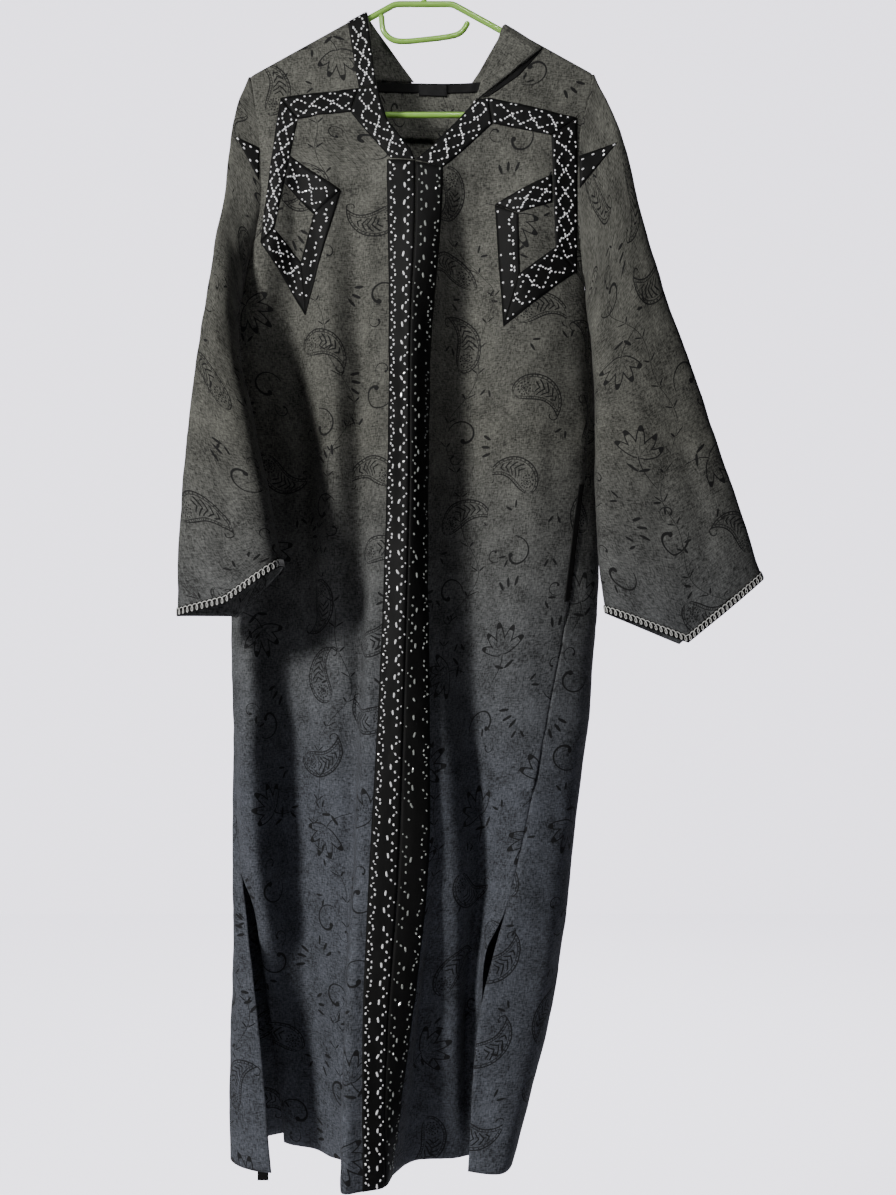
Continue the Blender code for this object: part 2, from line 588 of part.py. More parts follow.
def armhole(turn, seam):
    """The armhole's edge and its panels' normals: from the shoulder (0) down the front to the underarm
    (pi), and up the back."""
    tip = armhole_tip(seam)
    z = tip + (UNDERARM_Z - tip) * (1 - np.cos(turn)) / 2
    s = np.full(turn.shape, float(seam))
    front = ring(s, z, -1)
    back = ring(s, z, 1)
    is_front = (np.sin(turn) >= 0)[:, None]
    _, front_normals = ring_directions(s, z, -1, np.full(z.shape, tip))
    _, back_normals = ring_directions(s, z, 1, np.full(z.shape, tip))
    return np.where(is_front, front, back), np.where(is_front, front_normals, back_normals)


def sleeve_points(table, dips, seam, t, turn):
    """Points of a sleeve at t along it and turn round it, as a grid."""
    out_x, out_z, in_x, in_z, mid_y, half = station_values(table, t)
    cos = np.cos(turn)[None, :]
    sin = np.sin(turn)[None, :]
    x = ((out_x + in_x) / 2)[:, None] + ((out_x - in_x) / 2)[:, None] * cos
    z = ((out_z + in_z) / 2)[:, None] + ((out_z - in_z) / 2)[:, None] * cos
    y = mid_y[:, None] - half[:, None] * sin
    points = np.stack([x, y, z], axis=-1)
    head, _ = armhole(turn, seam)
    outward = -1.0 if seam == SEAM_R else 1.0
    low = ((1 - np.cos(turn)) / 2) ** 4
    high = ((1 + np.cos(turn)) / 2) ** 8
    head[:, 0] += outward * (LAY_GAP + UNDERARM_CLEAR * low + SHOULDER_CLEAR * high)
    head[:, 2] += UNDERARM_RAISE * low
    start = station_values(table, np.array([0.0]))[:, 0]
    first = np.stack([(start[0] + start[2]) / 2 + (start[0] - start[2]) / 2 * np.cos(turn),
                      start[4] - start[5] * np.sin(turn),
                      (start[1] + start[3]) / 2 + (start[1] - start[3]) / 2 * np.cos(turn)], axis=-1)
    weight = (1.0 - smoothstep(t / ARMHOLE_REACH))[:, None, None]
    points = points + weight * (head - first)[None, :, :]
    dip = np.where(np.sin(turn) >= 0, dips[0], dips[1]) * (1.0 - np.abs(np.cos(turn)))
    points[:, :, 2] -= dip[None, :] * (t ** 4)[:, None]
    return points


def sleeve(name, braid_name, table, dips, seam):
    """A sleeve's wall, and the strip for its braid outside its last row of cells."""
    turn = armhole_turns(seam)
    if seam == SEAM_R:
        turn = turn[::-1]
    table_length = abs(table[0][1] - table[-1][1]) * MM
    braid_share = BRAID_WIDTH / table_length
    t = np.concatenate([[0.0, 0.06], np.linspace(0.13, 1.0 - braid_share, SLEEVE_ROWS - 3), [1.0]])
    points = sleeve_points(table, dips, seam, t, turn)
    normals = grid_normals(points, closed=True)
    low = (1 - np.cos(turn)) / 2
    square = (np.abs(np.sin(turn)) > 0.05) * (1.0 - low ** 3)
    _, facing = armhole(turn, seam)
    normals[0] += (facing - normals[0]) * square[:, None]
    normals[0] /= np.linalg.norm(normals[0], axis=-1, keepdims=True)
    two_lengths(name, name + "_lower", points, normals, int(np.argmin(np.abs(t - ELBOW_T))), closed=True)
    sheet = two_sheets(points, normals, closed=True)
    columns = len(turn)
    picked = grid_triangles(2, columns, closed=True)
    last_rows = sheet["outer"].reshape(-1, columns, 3)[-2:].reshape(-1, 3)
    last_normals = normals[-2:].reshape(-1, 3)
    shell(braid_name, last_rows + last_normals * (LAY_GAP + BRAID_WALL), last_rows + last_normals * LAY_GAP,
          picked, BRAID)
    return sheet


# ---- hood -----------------------------------------------------------------------------------------
def hood():
    """An open bag that hangs behind the back: ovals that narrow towards its tip."""
    table = np.array(HOOD_SECTIONS, dtype=float)
    turn = np.linspace(0.0, 2 * math.pi, HOOD_SIDES, endpoint=False)
    t = np.linspace(0.0, 1.0, HOOD_ROWS + 1)
    half_width = MM * np.interp(t, table[:, 0], table[:, 1])[:, None]
    half_depth = MM * np.interp(t, table[:, 0], table[:, 2])[:, None]
    middle = MM * np.interp(t, table[:, 0], table[:, 3])[:, None]
    side = np.cos(turn)[None, :]
    back = np.sin(turn)[None, :]
    x = 8 * MM - half_width * side
    y = middle + half_depth * back
    rim = -0.176 + 0.045 * side ** 2 - 0.02 * np.maximum(back, 0.0)
    z = rim + (HOOD_TIP_Z - rim) * t[:, None]
    points = np.stack([x, y, z + 0 * x], axis=-1)
    normals = grid_normals(points, closed=True)
    return wall("hood", points, normals, CLOTH, closed=True)


# ---- hanger -----------------------------------------------------------------------------------------
def rounded_path(corners, radius, steps=6):
    """A closed path through corners, each one rounded by an arc."""
    corners = np.asarray(corners, dtype=float)
    count = len(corners)
    path = []
    for i in range(count):
        here = corners[i]
        before = corners[i - 1] - here
        after = corners[(i + 1) % count] - here
        before /= np.linalg.norm(before)
        after /= np.linalg.norm(after)
        angle = math.acos(np.clip(before @ after, -1, 1))
        reach = radius[i] / math.tan(angle / 2)
        middle = here + (before + after) / np.linalg.norm(before + after) * radius[i] / math.sin(angle / 2)
        start = here + before * reach - middle
        end = here + after * reach - middle
        sweep = math.pi - angle
        for j in range(steps + 1):
            a = j / steps
            path.append(middle + (math.sin((1 - a) * sweep) * start + math.sin(a * sweep) * end) / math.sin(sweep))
    return np.array(path)


def hanger():
    tip_z = float(shoulder_z(TIP_X)) - TIP_BELOW_SHOULDER
    corners = [(-TOP_BAR_HALF, 0, TOP_BAR_Z), (TOP_BAR_HALF, 0, TOP_BAR_Z), (TIP_X, 0, tip_z),
               (TIP_X - 16 * MM, 0, BAR_Z), (-TIP_X + 16 * MM, 0, BAR_Z), (-TIP_X, 0, tip_z)]
    radius = [0.02, 0.02, 0.010, 0.016, 0.016, 0.010]
    tube("hanger_frame", rounded_path(corners, radius), ROD_R, PLASTIC, sides=10, closed=True)
    foot = TOP_BAR_Z + ROD_R + 0.3 * MM
    centre = -(HOOK_R - HOOK_ROD_R)
    low = centre - HOOK_R
    stem = [(0, 0, foot), (0, 0, (foot + low) / 2)]
    angles = np.radians(np.linspace(-90, 205, 24))
    arc = [(HOOK_R * math.cos(a), 0, centre + HOOK_R * math.sin(a)) for a in angles]
    tube("hanger_hook", stem + arc, HOOK_ROD_R, PLASTIC, sides=10)
    strap = [(-53, -93.3), (-51.5, -108), (-46, -117), (-37, -122.5), (-24, -124), (0, -122), (34, -117.5),
             (47, -112), (54, -102)]
    tube("strap_hook", [(x * MM, 0, z * MM) for x, z in strap], STRAP_ROD_R, PLASTIC, sides=8)


def hem_tab():
    """The short black tab inside the back panel's right slit corner, just below the hem."""
    low = MM * np.array([-203, -39.5, -1531], dtype=float)
    size = MM * np.array([14, 1.2, 11.2], dtype=float)
    item = bmesh.new()
    bmesh.ops.create_cube(item, size=1.0)
    for v in item.verts:
        v.co = Vector(low + size * (np.array(v.co) + 0.5))
    mesh = bpy.data.meshes.new("hem_tab")
    item.to_mesh(mesh)
    item.free()
    mesh.materials.append(material(RIBBON))
    bpy.context.collection.objects.link(bpy.data.objects.new("hem_tab", mesh))


def motif(name, table, sheet):
    """Five mitred lengths of ribbon on one front."""
    for part, here, there in zip(LENGTH_NAMES, table, table[1:]):
        outline = (here[:2], there[:2], there[2:], here[2:])
        lay_on(f"{name}_{part}", sheet, outline, RIBBON)


def build():
    clear_scene()
    right = front_panel("front_right", 0, SEAM_R, FRONT_RIGHT_NECK)
    back = back_panel()
    left = front_panel("front_left", SEAM_L, COUNT, FRONT_LEFT_NECK, skirt="front_left_skirt")
    sleeve_r = sleeve("sleeve_right", "cuff_braid_right", SLEEVE_RIGHT, CUFF_DIP_RIGHT, SEAM_R)
    sleeve_l = sleeve("sleeve_left", "cuff_braid_left", SLEEVE_LEFT, CUFF_DIP_LEFT, SEAM_L)
    band_cells = CELLS[0]
    lay_on("neck_band_right_upper", right, NECK_RIGHT_UPPER, RIBBON)
    lay_on("neck_band_right_lower", right, NECK_RIGHT_LOWER, RIBBON)
    lay_on("neck_band_left_upper", left, NECK_LEFT_UPPER, RIBBON)
    lay_on("neck_band_left_lower", left, NECK_LEFT, RIBBON)
    lay_on("centre_band_right", right, CENTRE_RIGHT, RIBBON, columns=(0, band_cells))
    last = left["columns"] - 1
    lay_on("centre_band_left", left, CENTRE_LEFT, RIBBON, columns=(last - band_cells, last))
    motif("motif_left", MOTIF_LEFT, left)
    motif("motif_right", MOTIF_RIGHT, right)
    half = sleeve_l["columns"] // 2
    lay_on("spike_right", sleeve_r, SPIKE_RIGHT, RIBBON, columns=(half - 1, 2 * half - 1))
    lay_on("spike_left", sleeve_l, SPIKE_LEFT, RIBBON, columns=(0, half))
    lay_on("hood_shoulder_fold", left, HOOD_FOLD, CLOTH, thickness=2.0 * MM)
    lay_on("back_neck_facing", back, FACING, RIBBON, side="inner", thickness=0.8 * MM)
    lay_on("hood_corner", back, HOOD_CORNER, CLOTH, side="inner", thickness=0.8 * MM)
    lay_on("neck_label", back, LABEL, RIBBON, side="inner", gap=1.6 * MM, thickness=0.6 * MM)
    lay_on("pocket_welt", left, POCKET_WELT, CLOTH)
    hood()
    hanger()
    hem_tab()


build()
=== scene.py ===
"""A charcoal hooded robe with studded black ribbon, hanging on a light green plastic hanger.

Metres, +Z up.  The robe's front faces -Y, and the origin is the inner top of the hanger's hook.
The cloth is worked out again here, on finer grids, from the same fold lines as the solids.
"""
import math
from functools import partial, reduce

import bmesh
import bpy
import numpy as np
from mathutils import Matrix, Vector


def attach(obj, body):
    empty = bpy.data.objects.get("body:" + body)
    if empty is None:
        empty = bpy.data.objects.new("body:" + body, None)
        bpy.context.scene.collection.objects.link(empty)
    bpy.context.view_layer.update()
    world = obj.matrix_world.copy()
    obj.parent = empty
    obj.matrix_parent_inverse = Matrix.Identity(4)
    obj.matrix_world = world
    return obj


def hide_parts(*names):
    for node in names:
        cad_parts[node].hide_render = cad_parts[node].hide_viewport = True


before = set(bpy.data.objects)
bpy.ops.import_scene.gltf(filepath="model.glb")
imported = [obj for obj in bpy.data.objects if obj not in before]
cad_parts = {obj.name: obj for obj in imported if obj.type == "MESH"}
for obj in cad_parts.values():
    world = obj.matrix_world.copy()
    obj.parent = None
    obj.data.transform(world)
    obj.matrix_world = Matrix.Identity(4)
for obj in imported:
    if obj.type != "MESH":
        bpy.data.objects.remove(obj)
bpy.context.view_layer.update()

MM = 0.001

# ---- cloth and seams ----
SOLID_WALL = 2.0 * MM         # wall of a cloth solid, whose outer face the ribbons lie on
CLOTH_HALF = 0.55 * MM        # half the thickness of the cloth that shows
CLOTH_OUT = SOLID_WALL / 2 - CLOTH_HALF
SEAM_GAP = 0.3 * MM
RIBBON_LIFT = 0.5 * MM        # from the cloth's middle to the ribbon's
RIBBON_THICK = 0.7 * MM
RIBBON_TURN = 0.35 * MM       # how far its two edges turn down
RIBBON_LEVEL = 0.86           # of its width: the part between them
HEM_Z = -1519.0 * MM
SHOULDER_X = 97.5 * MM
SHOULDER_Z = -103.4 * MM
SHOULDER_SLOPE = 0.5547
SHOULDER_MIDDLE = 145.0 * MM
SHOULDER_ROUND = 7.0 * MM
SHOULDER_EASE = 120.0 * MM
UNDERARM_Z = -432.0 * MM
ARMHOLE_HALF_DEPTH = 15.0 * MM
ARMHOLE_CLOSING = 90.0 * MM   # above the underarm
SLIT_TOP_RIGHT = -1152.0 * MM
SLIT_TOP_LEFT = -1195.0 * MM
SLIT_SPREAD_RIGHT = (-8.0 * MM, 96.0 * MM)
SLIT_SPREAD_LEFT = (40.0 * MM, 62.0 * MM)
SLIT_DRAW_IN = 12.0 * MM
SLIT_OPENS_OVER = 60.0 * MM

LEVELS = MM * np.array([-165, -250, -350, -500, -700, -900, -1150, -1330, -1519], dtype=float)

# name of a fold line, then its x and y (mm) at each level
FOLDS = (
    ("centre", (-11, -10, -10, -16, -17, -22, -30, -42, -47),
     (-30, -34, -40, -46, -48, -52, -62, -76, -84)),
    ("band_r", (-46, -45, -44, -42, -45, -52, -65, -72, -71),
     (-24, -30, -34, -32, -32, -44, -60, -80, -98)),
    ("flap_r", (-71, -68, -63, -59, -59, -64, -76, -82, -87),
     (-22, -26, -30, -26, -28, -42, -58, -82, -105)),
    ("dip_r", (-96, -94, -91, -77, -77, -80, -91, -98, -103),
     (-22, -26, -26, -12, -10, -14, -16, -12, -8)),
    ("crown_r", (-122, -121, -121, -113, -106, -104, -109, -110, -111),
     (-22, -26, -28, -28, -24, -18, -10, 0, -2)),
    ("valley_r", (-153, -152, -159, -169, -151, -171, -162, -152, -143),
     (-22, -24, -14, 12, 26, 24, 26, 34, 30)),
    ("ridge_r", (-182, -177, -182, -215, -219, -218, -209, -185, -175),
     (-20, -24, -24, -4, -6, -18, -24, 22, 44)),
    ("seam_r", (-216, -204, -205, -243, -243, -243, -229, -205, -185),
     (0, 0, 0, 14, 26, 22, 0, -28, -46)),
    ("wrap_r", (-200, -192, -190, -238, -239, -240, -240, -228, -212),
     (18, 22, 24, 38, 42, 38, 14, -18, -38)),
    ("turn_r", (-182, -176, -172, -224, -226, -228, -238, -242, -240),
     (24, 28, 30, 48, 54, 54, 38, 8, -6)),
    ("back_ridge_r", (-130, -128, -125, -165, -170, -175, -200, -216, -226),
     (30, 34, 38, 60, 68, 72, 80, 62, 48)),
    ("back_valley_r", (-74, -74, -77, -95, -100, -108, -132, -152, -165),
     (30, 32, 34, 44, 48, 52, 52, 68, 84)),
    ("nape_r", (-68, -66, -66, -80, -84, -90, -112, -134, -149),
     (31, 33, 35, 46, 50, 55, 56, 71, 86)),
    ("back_mid", (0, 0, 0, -5, -8, -12, -25, -48, -68),
     (32, 36, 40, 58, 66, 74, 84, 92, 96)),
    ("nape_l", (99, 95, 92, 86, 88, 82, 54, 22, -4),
     (31, 33, 35, 47, 51, 55, 57, 67, 67)),
    ("back_valley_l", (103, 102, 100, 100, 102, 96, 68, 36, 8),
     (30, 32, 34, 46, 50, 54, 56, 66, 66)),
    ("back_ridge_l", (138, 136, 132, 150, 158, 148, 118, 86, 56),
     (30, 34, 38, 58, 64, 72, 82, 88, 92)),
    ("turn_l", (182, 174, 168, 204, 218, 214, 186, 162, 111),
     (24, 28, 30, 46, 42, 32, 30, 26, 2)),
    ("wrap_l", (198, 184, 182, 211, 219, 205, 169, 144, 92),
     (16, 20, 22, 28, 14, 0, -12, -22, -50)),
    ("seam_l", (210, 194, 192, 206, 197, 166, 115, 69, 54),
     (0, 0, 0, 4, -10, -20, -24, -36, -42)),
    ("crown_l", (144, 141, 131, 128, 137, 119, 91, 65, 67),
     (-22, -26, -30, -26, -24, -22, -10, 0, 14)),
    ("valley_l", (94, 94, 49, 44, 46, 55, 75, 55, 55),
     (-22, -24, -10, 8, 12, 14, 8, 6, 8)),
    ("pleat_l", (63, 62, 39, 30, 31, 20, 35, 42, 42),
     (-22, -26, -14, 0, 2, -22, -34, -20, 0)),
    ("step_l", (42, 41, 31, 18, 18, 13, 18, -5, -13),
     (-24, -28, -24, -12, -12, -28, -36, -22, -10)),
    ("band_l", (28, 25, 21, 8, 5, 6, 5, -15, -39),
     (-26, -30, -34, -26, -28, -38, -52, -58, -56)),
)
NAMES = [row[0] for row in FOLDS]
FOLD_X = MM * np.array([row[1] for row in FOLDS], dtype=float)
FOLD_Y = MM * np.array([row[2] for row in FOLDS], dtype=float)
COUNT = len(FOLDS)
SEAM_R = NAMES.index("seam_r")
SEAM_L = NAMES.index("seam_l")
OUTWARD = {SEAM_R: -1.0, SEAM_L: 1.0}

FRONT_RIGHT_NECK = ((-71, -89), (-67, -106), (-61, -166), (-57, -190), (-45, -231), (-15, -271),
                    (-10, -283.4))
FRONT_LEFT_NECK = ((99, -104), (84, -148), (72, -178), (63, -207), (39, -235), (8, -268),
                   (-10, -283.4))
BACK_NECK = ((-72, -89), (-18, -164), (62, -165), (98, -109.5), (102, -106))
NECK_FOOT = (-10.0 * MM, -283.4 * MM)
LEVEL_AFTER = 320.0 * MM
SAG_FADES_AFTER = 450.0 * MM

# sleeves: outer x, z, inner x, z, middle y, half depth (mm), from the armhole to the cuff
SLEEVE_RIGHT = ((-218, -172, -226, -432, 6, 16), (-232, -206, -225.5, -438, 2, 19),
                (-240, -257, -228, -446, -5, 23), (-247, -330, -230.5, -458, -13, 26),
                (-256, -400, -229, -478, -30, 27), (-265, -480, -222, -530, -46, 38),
                (-274, -563, -205, -600, -62, 43), (-283, -667, -187, -685, -75, 46),
                (-288, -757, -175, -745, -82, 48), (-287, -841, -167, -783, -86, 50))
SLEEVE_LEFT = ((216, -172, 202, -435, 0, 16), (235, -212, 202.5, -440, 0, 19),
               (247, -250, 203, -450, -2, 22), (269, -341, 206, -476, -4, 25),
               (284, -396, 209.5, -503, -5, 27), (305, -463, 213, -545, -6, 28),
               (335, -548, 213.5, -606, -8, 30), (366, -636, 214, -680, -10, 31),
               (395, -723, 217, -763, -12, 32), (418, -796, 227, -838, -12, 32))
CUFF_DIP_RIGHT = (14.0 * MM, 30.0 * MM)
CUFF_DIP_LEFT = (57.0 * MM, 61.0 * MM)
ARMHOLE_REACH = 0.30          # of the sleeve's length: how far its head keeps the armhole's form
FLATTER = 0.50
FLATTER_LEANING = 0.4
FRONT_LEAN = 0.30
BRAID_WIDTH = 10.0 * MM

# name of a neck ribbon, then the runs (x, z in mm) of its outer and its inner edge
NECK_RIBBONS = (
    ("neck_band_right_upper", ((-95, -102.8), (-80, -190.6)), ((-71, -90), (-61, -166), (-57.6, -188))),
    ("neck_band_right_lower", ((-80, -191.4), (-90, -222), (-40, -280.8)),
     ((-57.2, -188.6), (-45, -231), (-15, -271), (-10.4, -283))),
    ("neck_band_left_upper", ((146.6, -137.6), (118, -173), (80.3, -201.8)), ((146, -137), (72.4, -203),)),
    ("neck_band_left_lower", ((79, -203.4), (85, -236), (24, -291.6)),
     ((63.2, -207.2), (39, -235), (8, -268), (-9.6, -283.2))),
)
# a chest motif's mitres, one after another: its outer corner, then its inner one (x, z in mm)
MOTIF_LEFT = ((79, -203, 85, -236), (190, -225, 157, -250), (190, -414, 162, -387),
              (100, -484, 119, -420), (88, -333, 117, -347), (158, -298, 158, -333))
MOTIF_RIGHT = ((-80, -191, -90, -222), (-177, -200, -155, -229), (-201, -380, -184, -364),
               (-147, -468, -153, -401), (-101, -319, -135, -347), (-165, -274, -172, -309))
LENGTH_NAMES = ("top", "outer", "lower", "inner", "upper")
# the points on the sleeves: upper corner, tip, lower corner
SPIKE_LEFT = ((192, -272), (240, -256), (193, -313))
SPIKE_RIGHT = ((-203, -262), (-233, -248), (-204, -303))


# ---- curves and fields ----
def hermite(a, b, ma, mb, t):
    """Cubic from a to b with end slopes ma and mb, at t from 0 to 1."""
    t2 = t * t
    t3 = t2 * t
    return (2 * t3 - 3 * t2 + 1) * a + (t3 - 2 * t2 + t) * ma + (3 * t2 - 2 * t3) * b + (t3 - t2) * mb


def smoothstep(t):
    """0 below 0, 1 above 1, and level at both ends."""
    t = np.clip(t, 0.0, 1.0)
    return t * t * (3.0 - 2.0 * t)


def unit(vectors):
    """The vectors at length 1."""
    return vectors / (np.linalg.norm(vectors, axis=-1, keepdims=True) + 1e-12)


def run_lengths(line):
    """Length along a line at each of its points, from 0."""
    return np.concatenate([[0.0], np.cumsum(np.linalg.norm(np.diff(line, axis=0), axis=1))])


def open_rows(points):
    """Length along each row of a grid, from 0 at its first point."""
    steps = np.linalg.norm(np.diff(points, axis=1), axis=-1)
    return np.concatenate([np.zeros((len(points), 1)), np.cumsum(steps, axis=1)], axis=1)


def round_rows(points):
    """Each closed row's steps, and the length along it, from 0 at its first point."""
    steps = np.linalg.norm(np.roll(points, -1, axis=1) - points, axis=-1)
    return steps, np.concatenate([np.zeros((len(points), 1)), np.cumsum(steps, axis=1)[:, :-1]], axis=1)


def smooth_levels(levels, values, z):
    """Cubic through values[k] at the falling levels, at each z.  Level above the first one."""
    rising = -levels
    place = np.clip(-z, rising[0], rising[-1])
    low = np.clip(np.searchsorted(rising, place, side="right") - 1, 0, len(levels) - 2)
    slopes = np.zeros_like(values)
    slopes[:, 1:-1] = (values[:, 2:] - values[:, :-2]) / (rising[2:] - rising[:-2])
    slopes[:, -1] = (values[:, -1] - values[:, -2]) / (rising[-1] - rising[-2])
    span = rising[low + 1] - rising[low]
    t = (place - rising[low]) / span
    return hermite(values[:, low], values[:, low + 1], slopes[:, low] * span, slopes[:, low + 1] * span, t)


def shoulder_z(x):
    """Height of the shoulder line, which keeps its slope past the neck."""
    return SHOULDER_Z - (np.abs(x) - SHOULDER_X) * SHOULDER_SLOPE


def armhole_half(z):
    """Half the depth of the armhole: full above, closing like an ellipse at the underarm."""
    return ARMHOLE_HALF_DEPTH * np.sqrt(np.clip((z - UNDERARM_Z) / ARMHOLE_CLOSING, 0.0, 1.0))


def ring(s, z, side):
    """The body's cloth at place s along the fold lines and height z: a cubic through the fold lines,
    narrowed to a round edge at the shoulder.  side is -1 for the fronts and +1 for the back, which
    part at the armholes and the slits."""
    s = np.asarray(s, dtype=float)
    z = np.broadcast_to(np.asarray(z, dtype=float), s.shape)
    flat_s = s.ravel()
    flat_z = z.ravel()
    xs = smooth_levels(LEVELS, FOLD_X, flat_z)
    ys = smooth_levels(LEVELS, FOLD_Y, flat_z)
    half = armhole_half(flat_z)
    ys[SEAM_R] += side * half
    ys[SEAM_L] += side * half
    if side < 0:
        for seam, top, spread, inward in ((SEAM_R, SLIT_TOP_RIGHT, SLIT_SPREAD_RIGHT, 1),
                                          (SEAM_L, SLIT_TOP_LEFT, SLIT_SPREAD_LEFT, -1)):
            opened = smoothstep((top - flat_z) / (top - HEM_Z))
            drawn_in = SLIT_DRAW_IN * smoothstep((top - flat_z) / SLIT_OPENS_OVER)
            xs[seam] += opened * spread[0] + inward * drawn_in
            ys[seam] += opened * spread[1]
    for seam, top, outwards in ((SEAM_R, SLIT_TOP_RIGHT, 1), (SEAM_L, SLIT_TOP_LEFT, -1)):
        beyond = seam - side * outwards
        near = seam + side * outwards
        apart = np.maximum(half / ARMHOLE_HALF_DEPTH, smoothstep((top - flat_z) / SLIT_OPENS_OVER))
        for values in (xs, ys):
            values[beyond] += apart * (2 * values[seam] - values[near] - values[beyond])
    k = np.floor(flat_s).astype(int)
    t = flat_s - k
    pick = np.arange(flat_s.size)
    knots = [np.stack([xs[(k + j) % COUNT, pick], ys[(k + j) % COUNT, pick]], axis=-1)
             for j in (-1, 0, 1, 2)]
    chords = [np.linalg.norm(knots[j + 1] - knots[j], axis=-1)[:, None] + 1e-6 for j in range(3)]
    ways = [(knots[j + 1] - knots[j]) / chords[j] for j in range(3)]
    ends = [(ways[j] * chords[j - 1] + ways[j - 1] * chords[j]) / (chords[j - 1] + chords[j]) * chords[1]
            for j in (1, 2)]
    point = hermite(knots[1], knots[2], *ends, t[:, None])
    x = point[:, 0]
    drop = np.maximum(shoulder_z(x) - flat_z, 0.0)
    depth = smoothstep(drop / SHOULDER_EASE)
    turn = np.sqrt(1.0 - (1.0 - np.minimum(drop, SHOULDER_ROUND) / SHOULDER_ROUND) ** 2)
    y = point[:, 1] * depth + side * SHOULDER_ROUND * turn * (1.0 - depth) + side * SEAM_GAP / 2
    return np.stack([x, y, flat_z], axis=-1).reshape(s.shape + (3,))


def ring_normals(s, z, side):
    """Outward normals of the body's cloth, from a short step along the ring and a short step down."""
    top = shoulder_z(ring(s, z, side)[..., 0])
    along = ring(s + 0.02, z, side) - ring(s - 0.02, z, side)
    down = ring(s, z - MM, side) - ring(s, np.minimum(z + MM, top), side)
    return unit(np.cross(along, down))


def grid_normals(points, closed=False):
    """Outward normals of a grid whose rows run down and whose columns run along the ring."""
    down = np.gradient(points, axis=0)
    if closed:
        padded = np.concatenate([points[:, -1:], points, points[:, :1]], axis=1)
        along = (padded[:, 2:] - padded[:, :-2]) / 2
    else:
        along = np.gradient(points, axis=1)
    return unit(np.cross(along, down))


def crease_field(x, z, creases):
    """Sum of listed creases.  Each is a line in x and z with a height and a width: a bell across
    the line, fading towards its ends."""
    total = np.zeros_like(x)
    for line, height, width in creases:
        line = MM * np.array(line, dtype=float)
        lengths = run_lengths(line)
        nearest = np.full(x.shape, 1e9)
        place = np.zeros_like(x)
        for a, b, before in zip(line, line[1:], lengths):
            leg = b - a
            size = np.linalg.norm(leg)
            t = np.clip(((x - a[0]) * leg[0] + (z - a[1]) * leg[1]) / size ** 2, 0.0, 1.0)
            distance = np.hypot(x - a[0] - t * leg[0], z - a[1] - t * leg[1])
            closer = distance < nearest
            nearest = np.where(closer, distance, nearest)
            place = np.where(closer, before + t * size, place)
        along = place / lengths[-1]
        fade = smoothstep(along / 0.25) * smoothstep((1.0 - along) / 0.25)
        total += height * MM * np.exp(-(nearest / (width * MM)) ** 2) * fade
    return total


def ripple(u, v, seed):
    """Soft unevenness of hanging cloth: sines of several sizes, longer down the cloth than across."""
    rng = np.random.default_rng(seed)
    total = np.zeros_like(u)
    for size, height in ((110, 0.9), (62, 0.6), (34, 0.38), (19, 0.20), (11, 0.10)):
        for _ in range(4):
            lean = rng.uniform(-0.5, 0.5)
            phase = rng.uniform(0, 2 * math.pi)
            across = 2 * math.pi / (size * MM) * rng.uniform(0.8, 1.25)
            sway = 2.0 * np.sin(v * across * 0.23)
            total += height * MM * 0.5 * np.sin(across * (u + lean * v) + phase + sway)
    return total


# ---- meshes ----
def add_object(name, mesh, finish):
    """The object of a mesh that has one finish."""
    mesh.materials.append(finish)
    item = bpy.data.objects.new(name, mesh)
    bpy.context.collection.objects.link(item)
    return item


def new_object(name, points, quads, finish, uv=None):
    """An object made from arrays of points, four-cornered or three-cornered faces, and one UV a point."""
    mesh = bpy.data.meshes.new(name)
    mesh.from_pydata(points.tolist(), [], quads.tolist())
    mesh.polygons.foreach_set("use_smooth", np.ones(len(mesh.polygons), dtype=bool))
    if uv is not None:
        loops = np.empty(len(mesh.loops), dtype=np.int32)
        mesh.loops.foreach_get("vertex_index", loops)
        layer = mesh.uv_layers.new(name="cut")
        layer.data.foreach_set("uv", uv[loops].astype(np.float32).ravel())
    return add_object(name, mesh, finish)


def grid_quads(rows, columns, closed=False):
    """Faces of a grid, facing the way its normals do."""
    r, c = np.meshgrid(np.arange(rows - 1), np.arange(columns if closed else columns - 1), indexing="ij")
    row, below, beside = r * columns, (r + 1) * columns, (c + 1) % columns
    return np.stack([row + c, row + beside, below + beside, below + c], axis=-1).reshape(-1, 4)


def cloth_shell(name, points, normals, half, finish, uv, closed=False):
    """A thin closed shell: the grid moved half a thickness each way along its normals, with its free
    edges joined by a rim."""
    rows, columns = points.shape[:2]
    count = rows * columns
    quads = grid_quads(rows, columns, closed)
    edges = np.concatenate([quads[:, [0, 1]], quads[:, [1, 2]], quads[:, [2, 3]], quads[:, [3, 0]]])
    free = edges[~np.isin(edges[:, 0] * count + edges[:, 1], edges[:, 1] * count + edges[:, 0])]
    rim = np.stack([free[:, 1], free[:, 0], free[:, 0] + count, free[:, 1] + count], axis=1)
    outer = (points + normals * half).reshape(-1, 3)
    inner = (points - normals * half).reshape(-1, 3)
    flat_uv = uv.reshape(-1, 2)
    faces = np.concatenate([quads, quads[:, ::-1] + count, rim])
    return new_object(name, np.concatenate([outer, inner]), faces, finish, np.concatenate([flat_uv, flat_uv]))


def cord_rings(path, first, second, radii, sides):
    """Points of circles round a path, each in the plane of its two directions."""
    turn = np.linspace(0, 2 * math.pi, sides, endpoint=False)[None, :, None]
    rings = np.cos(turn) * first[:, None] + np.sin(turn) * second[:, None]
    return (path[:, None] + radii[:, None, None] * rings).reshape(-1, 3)


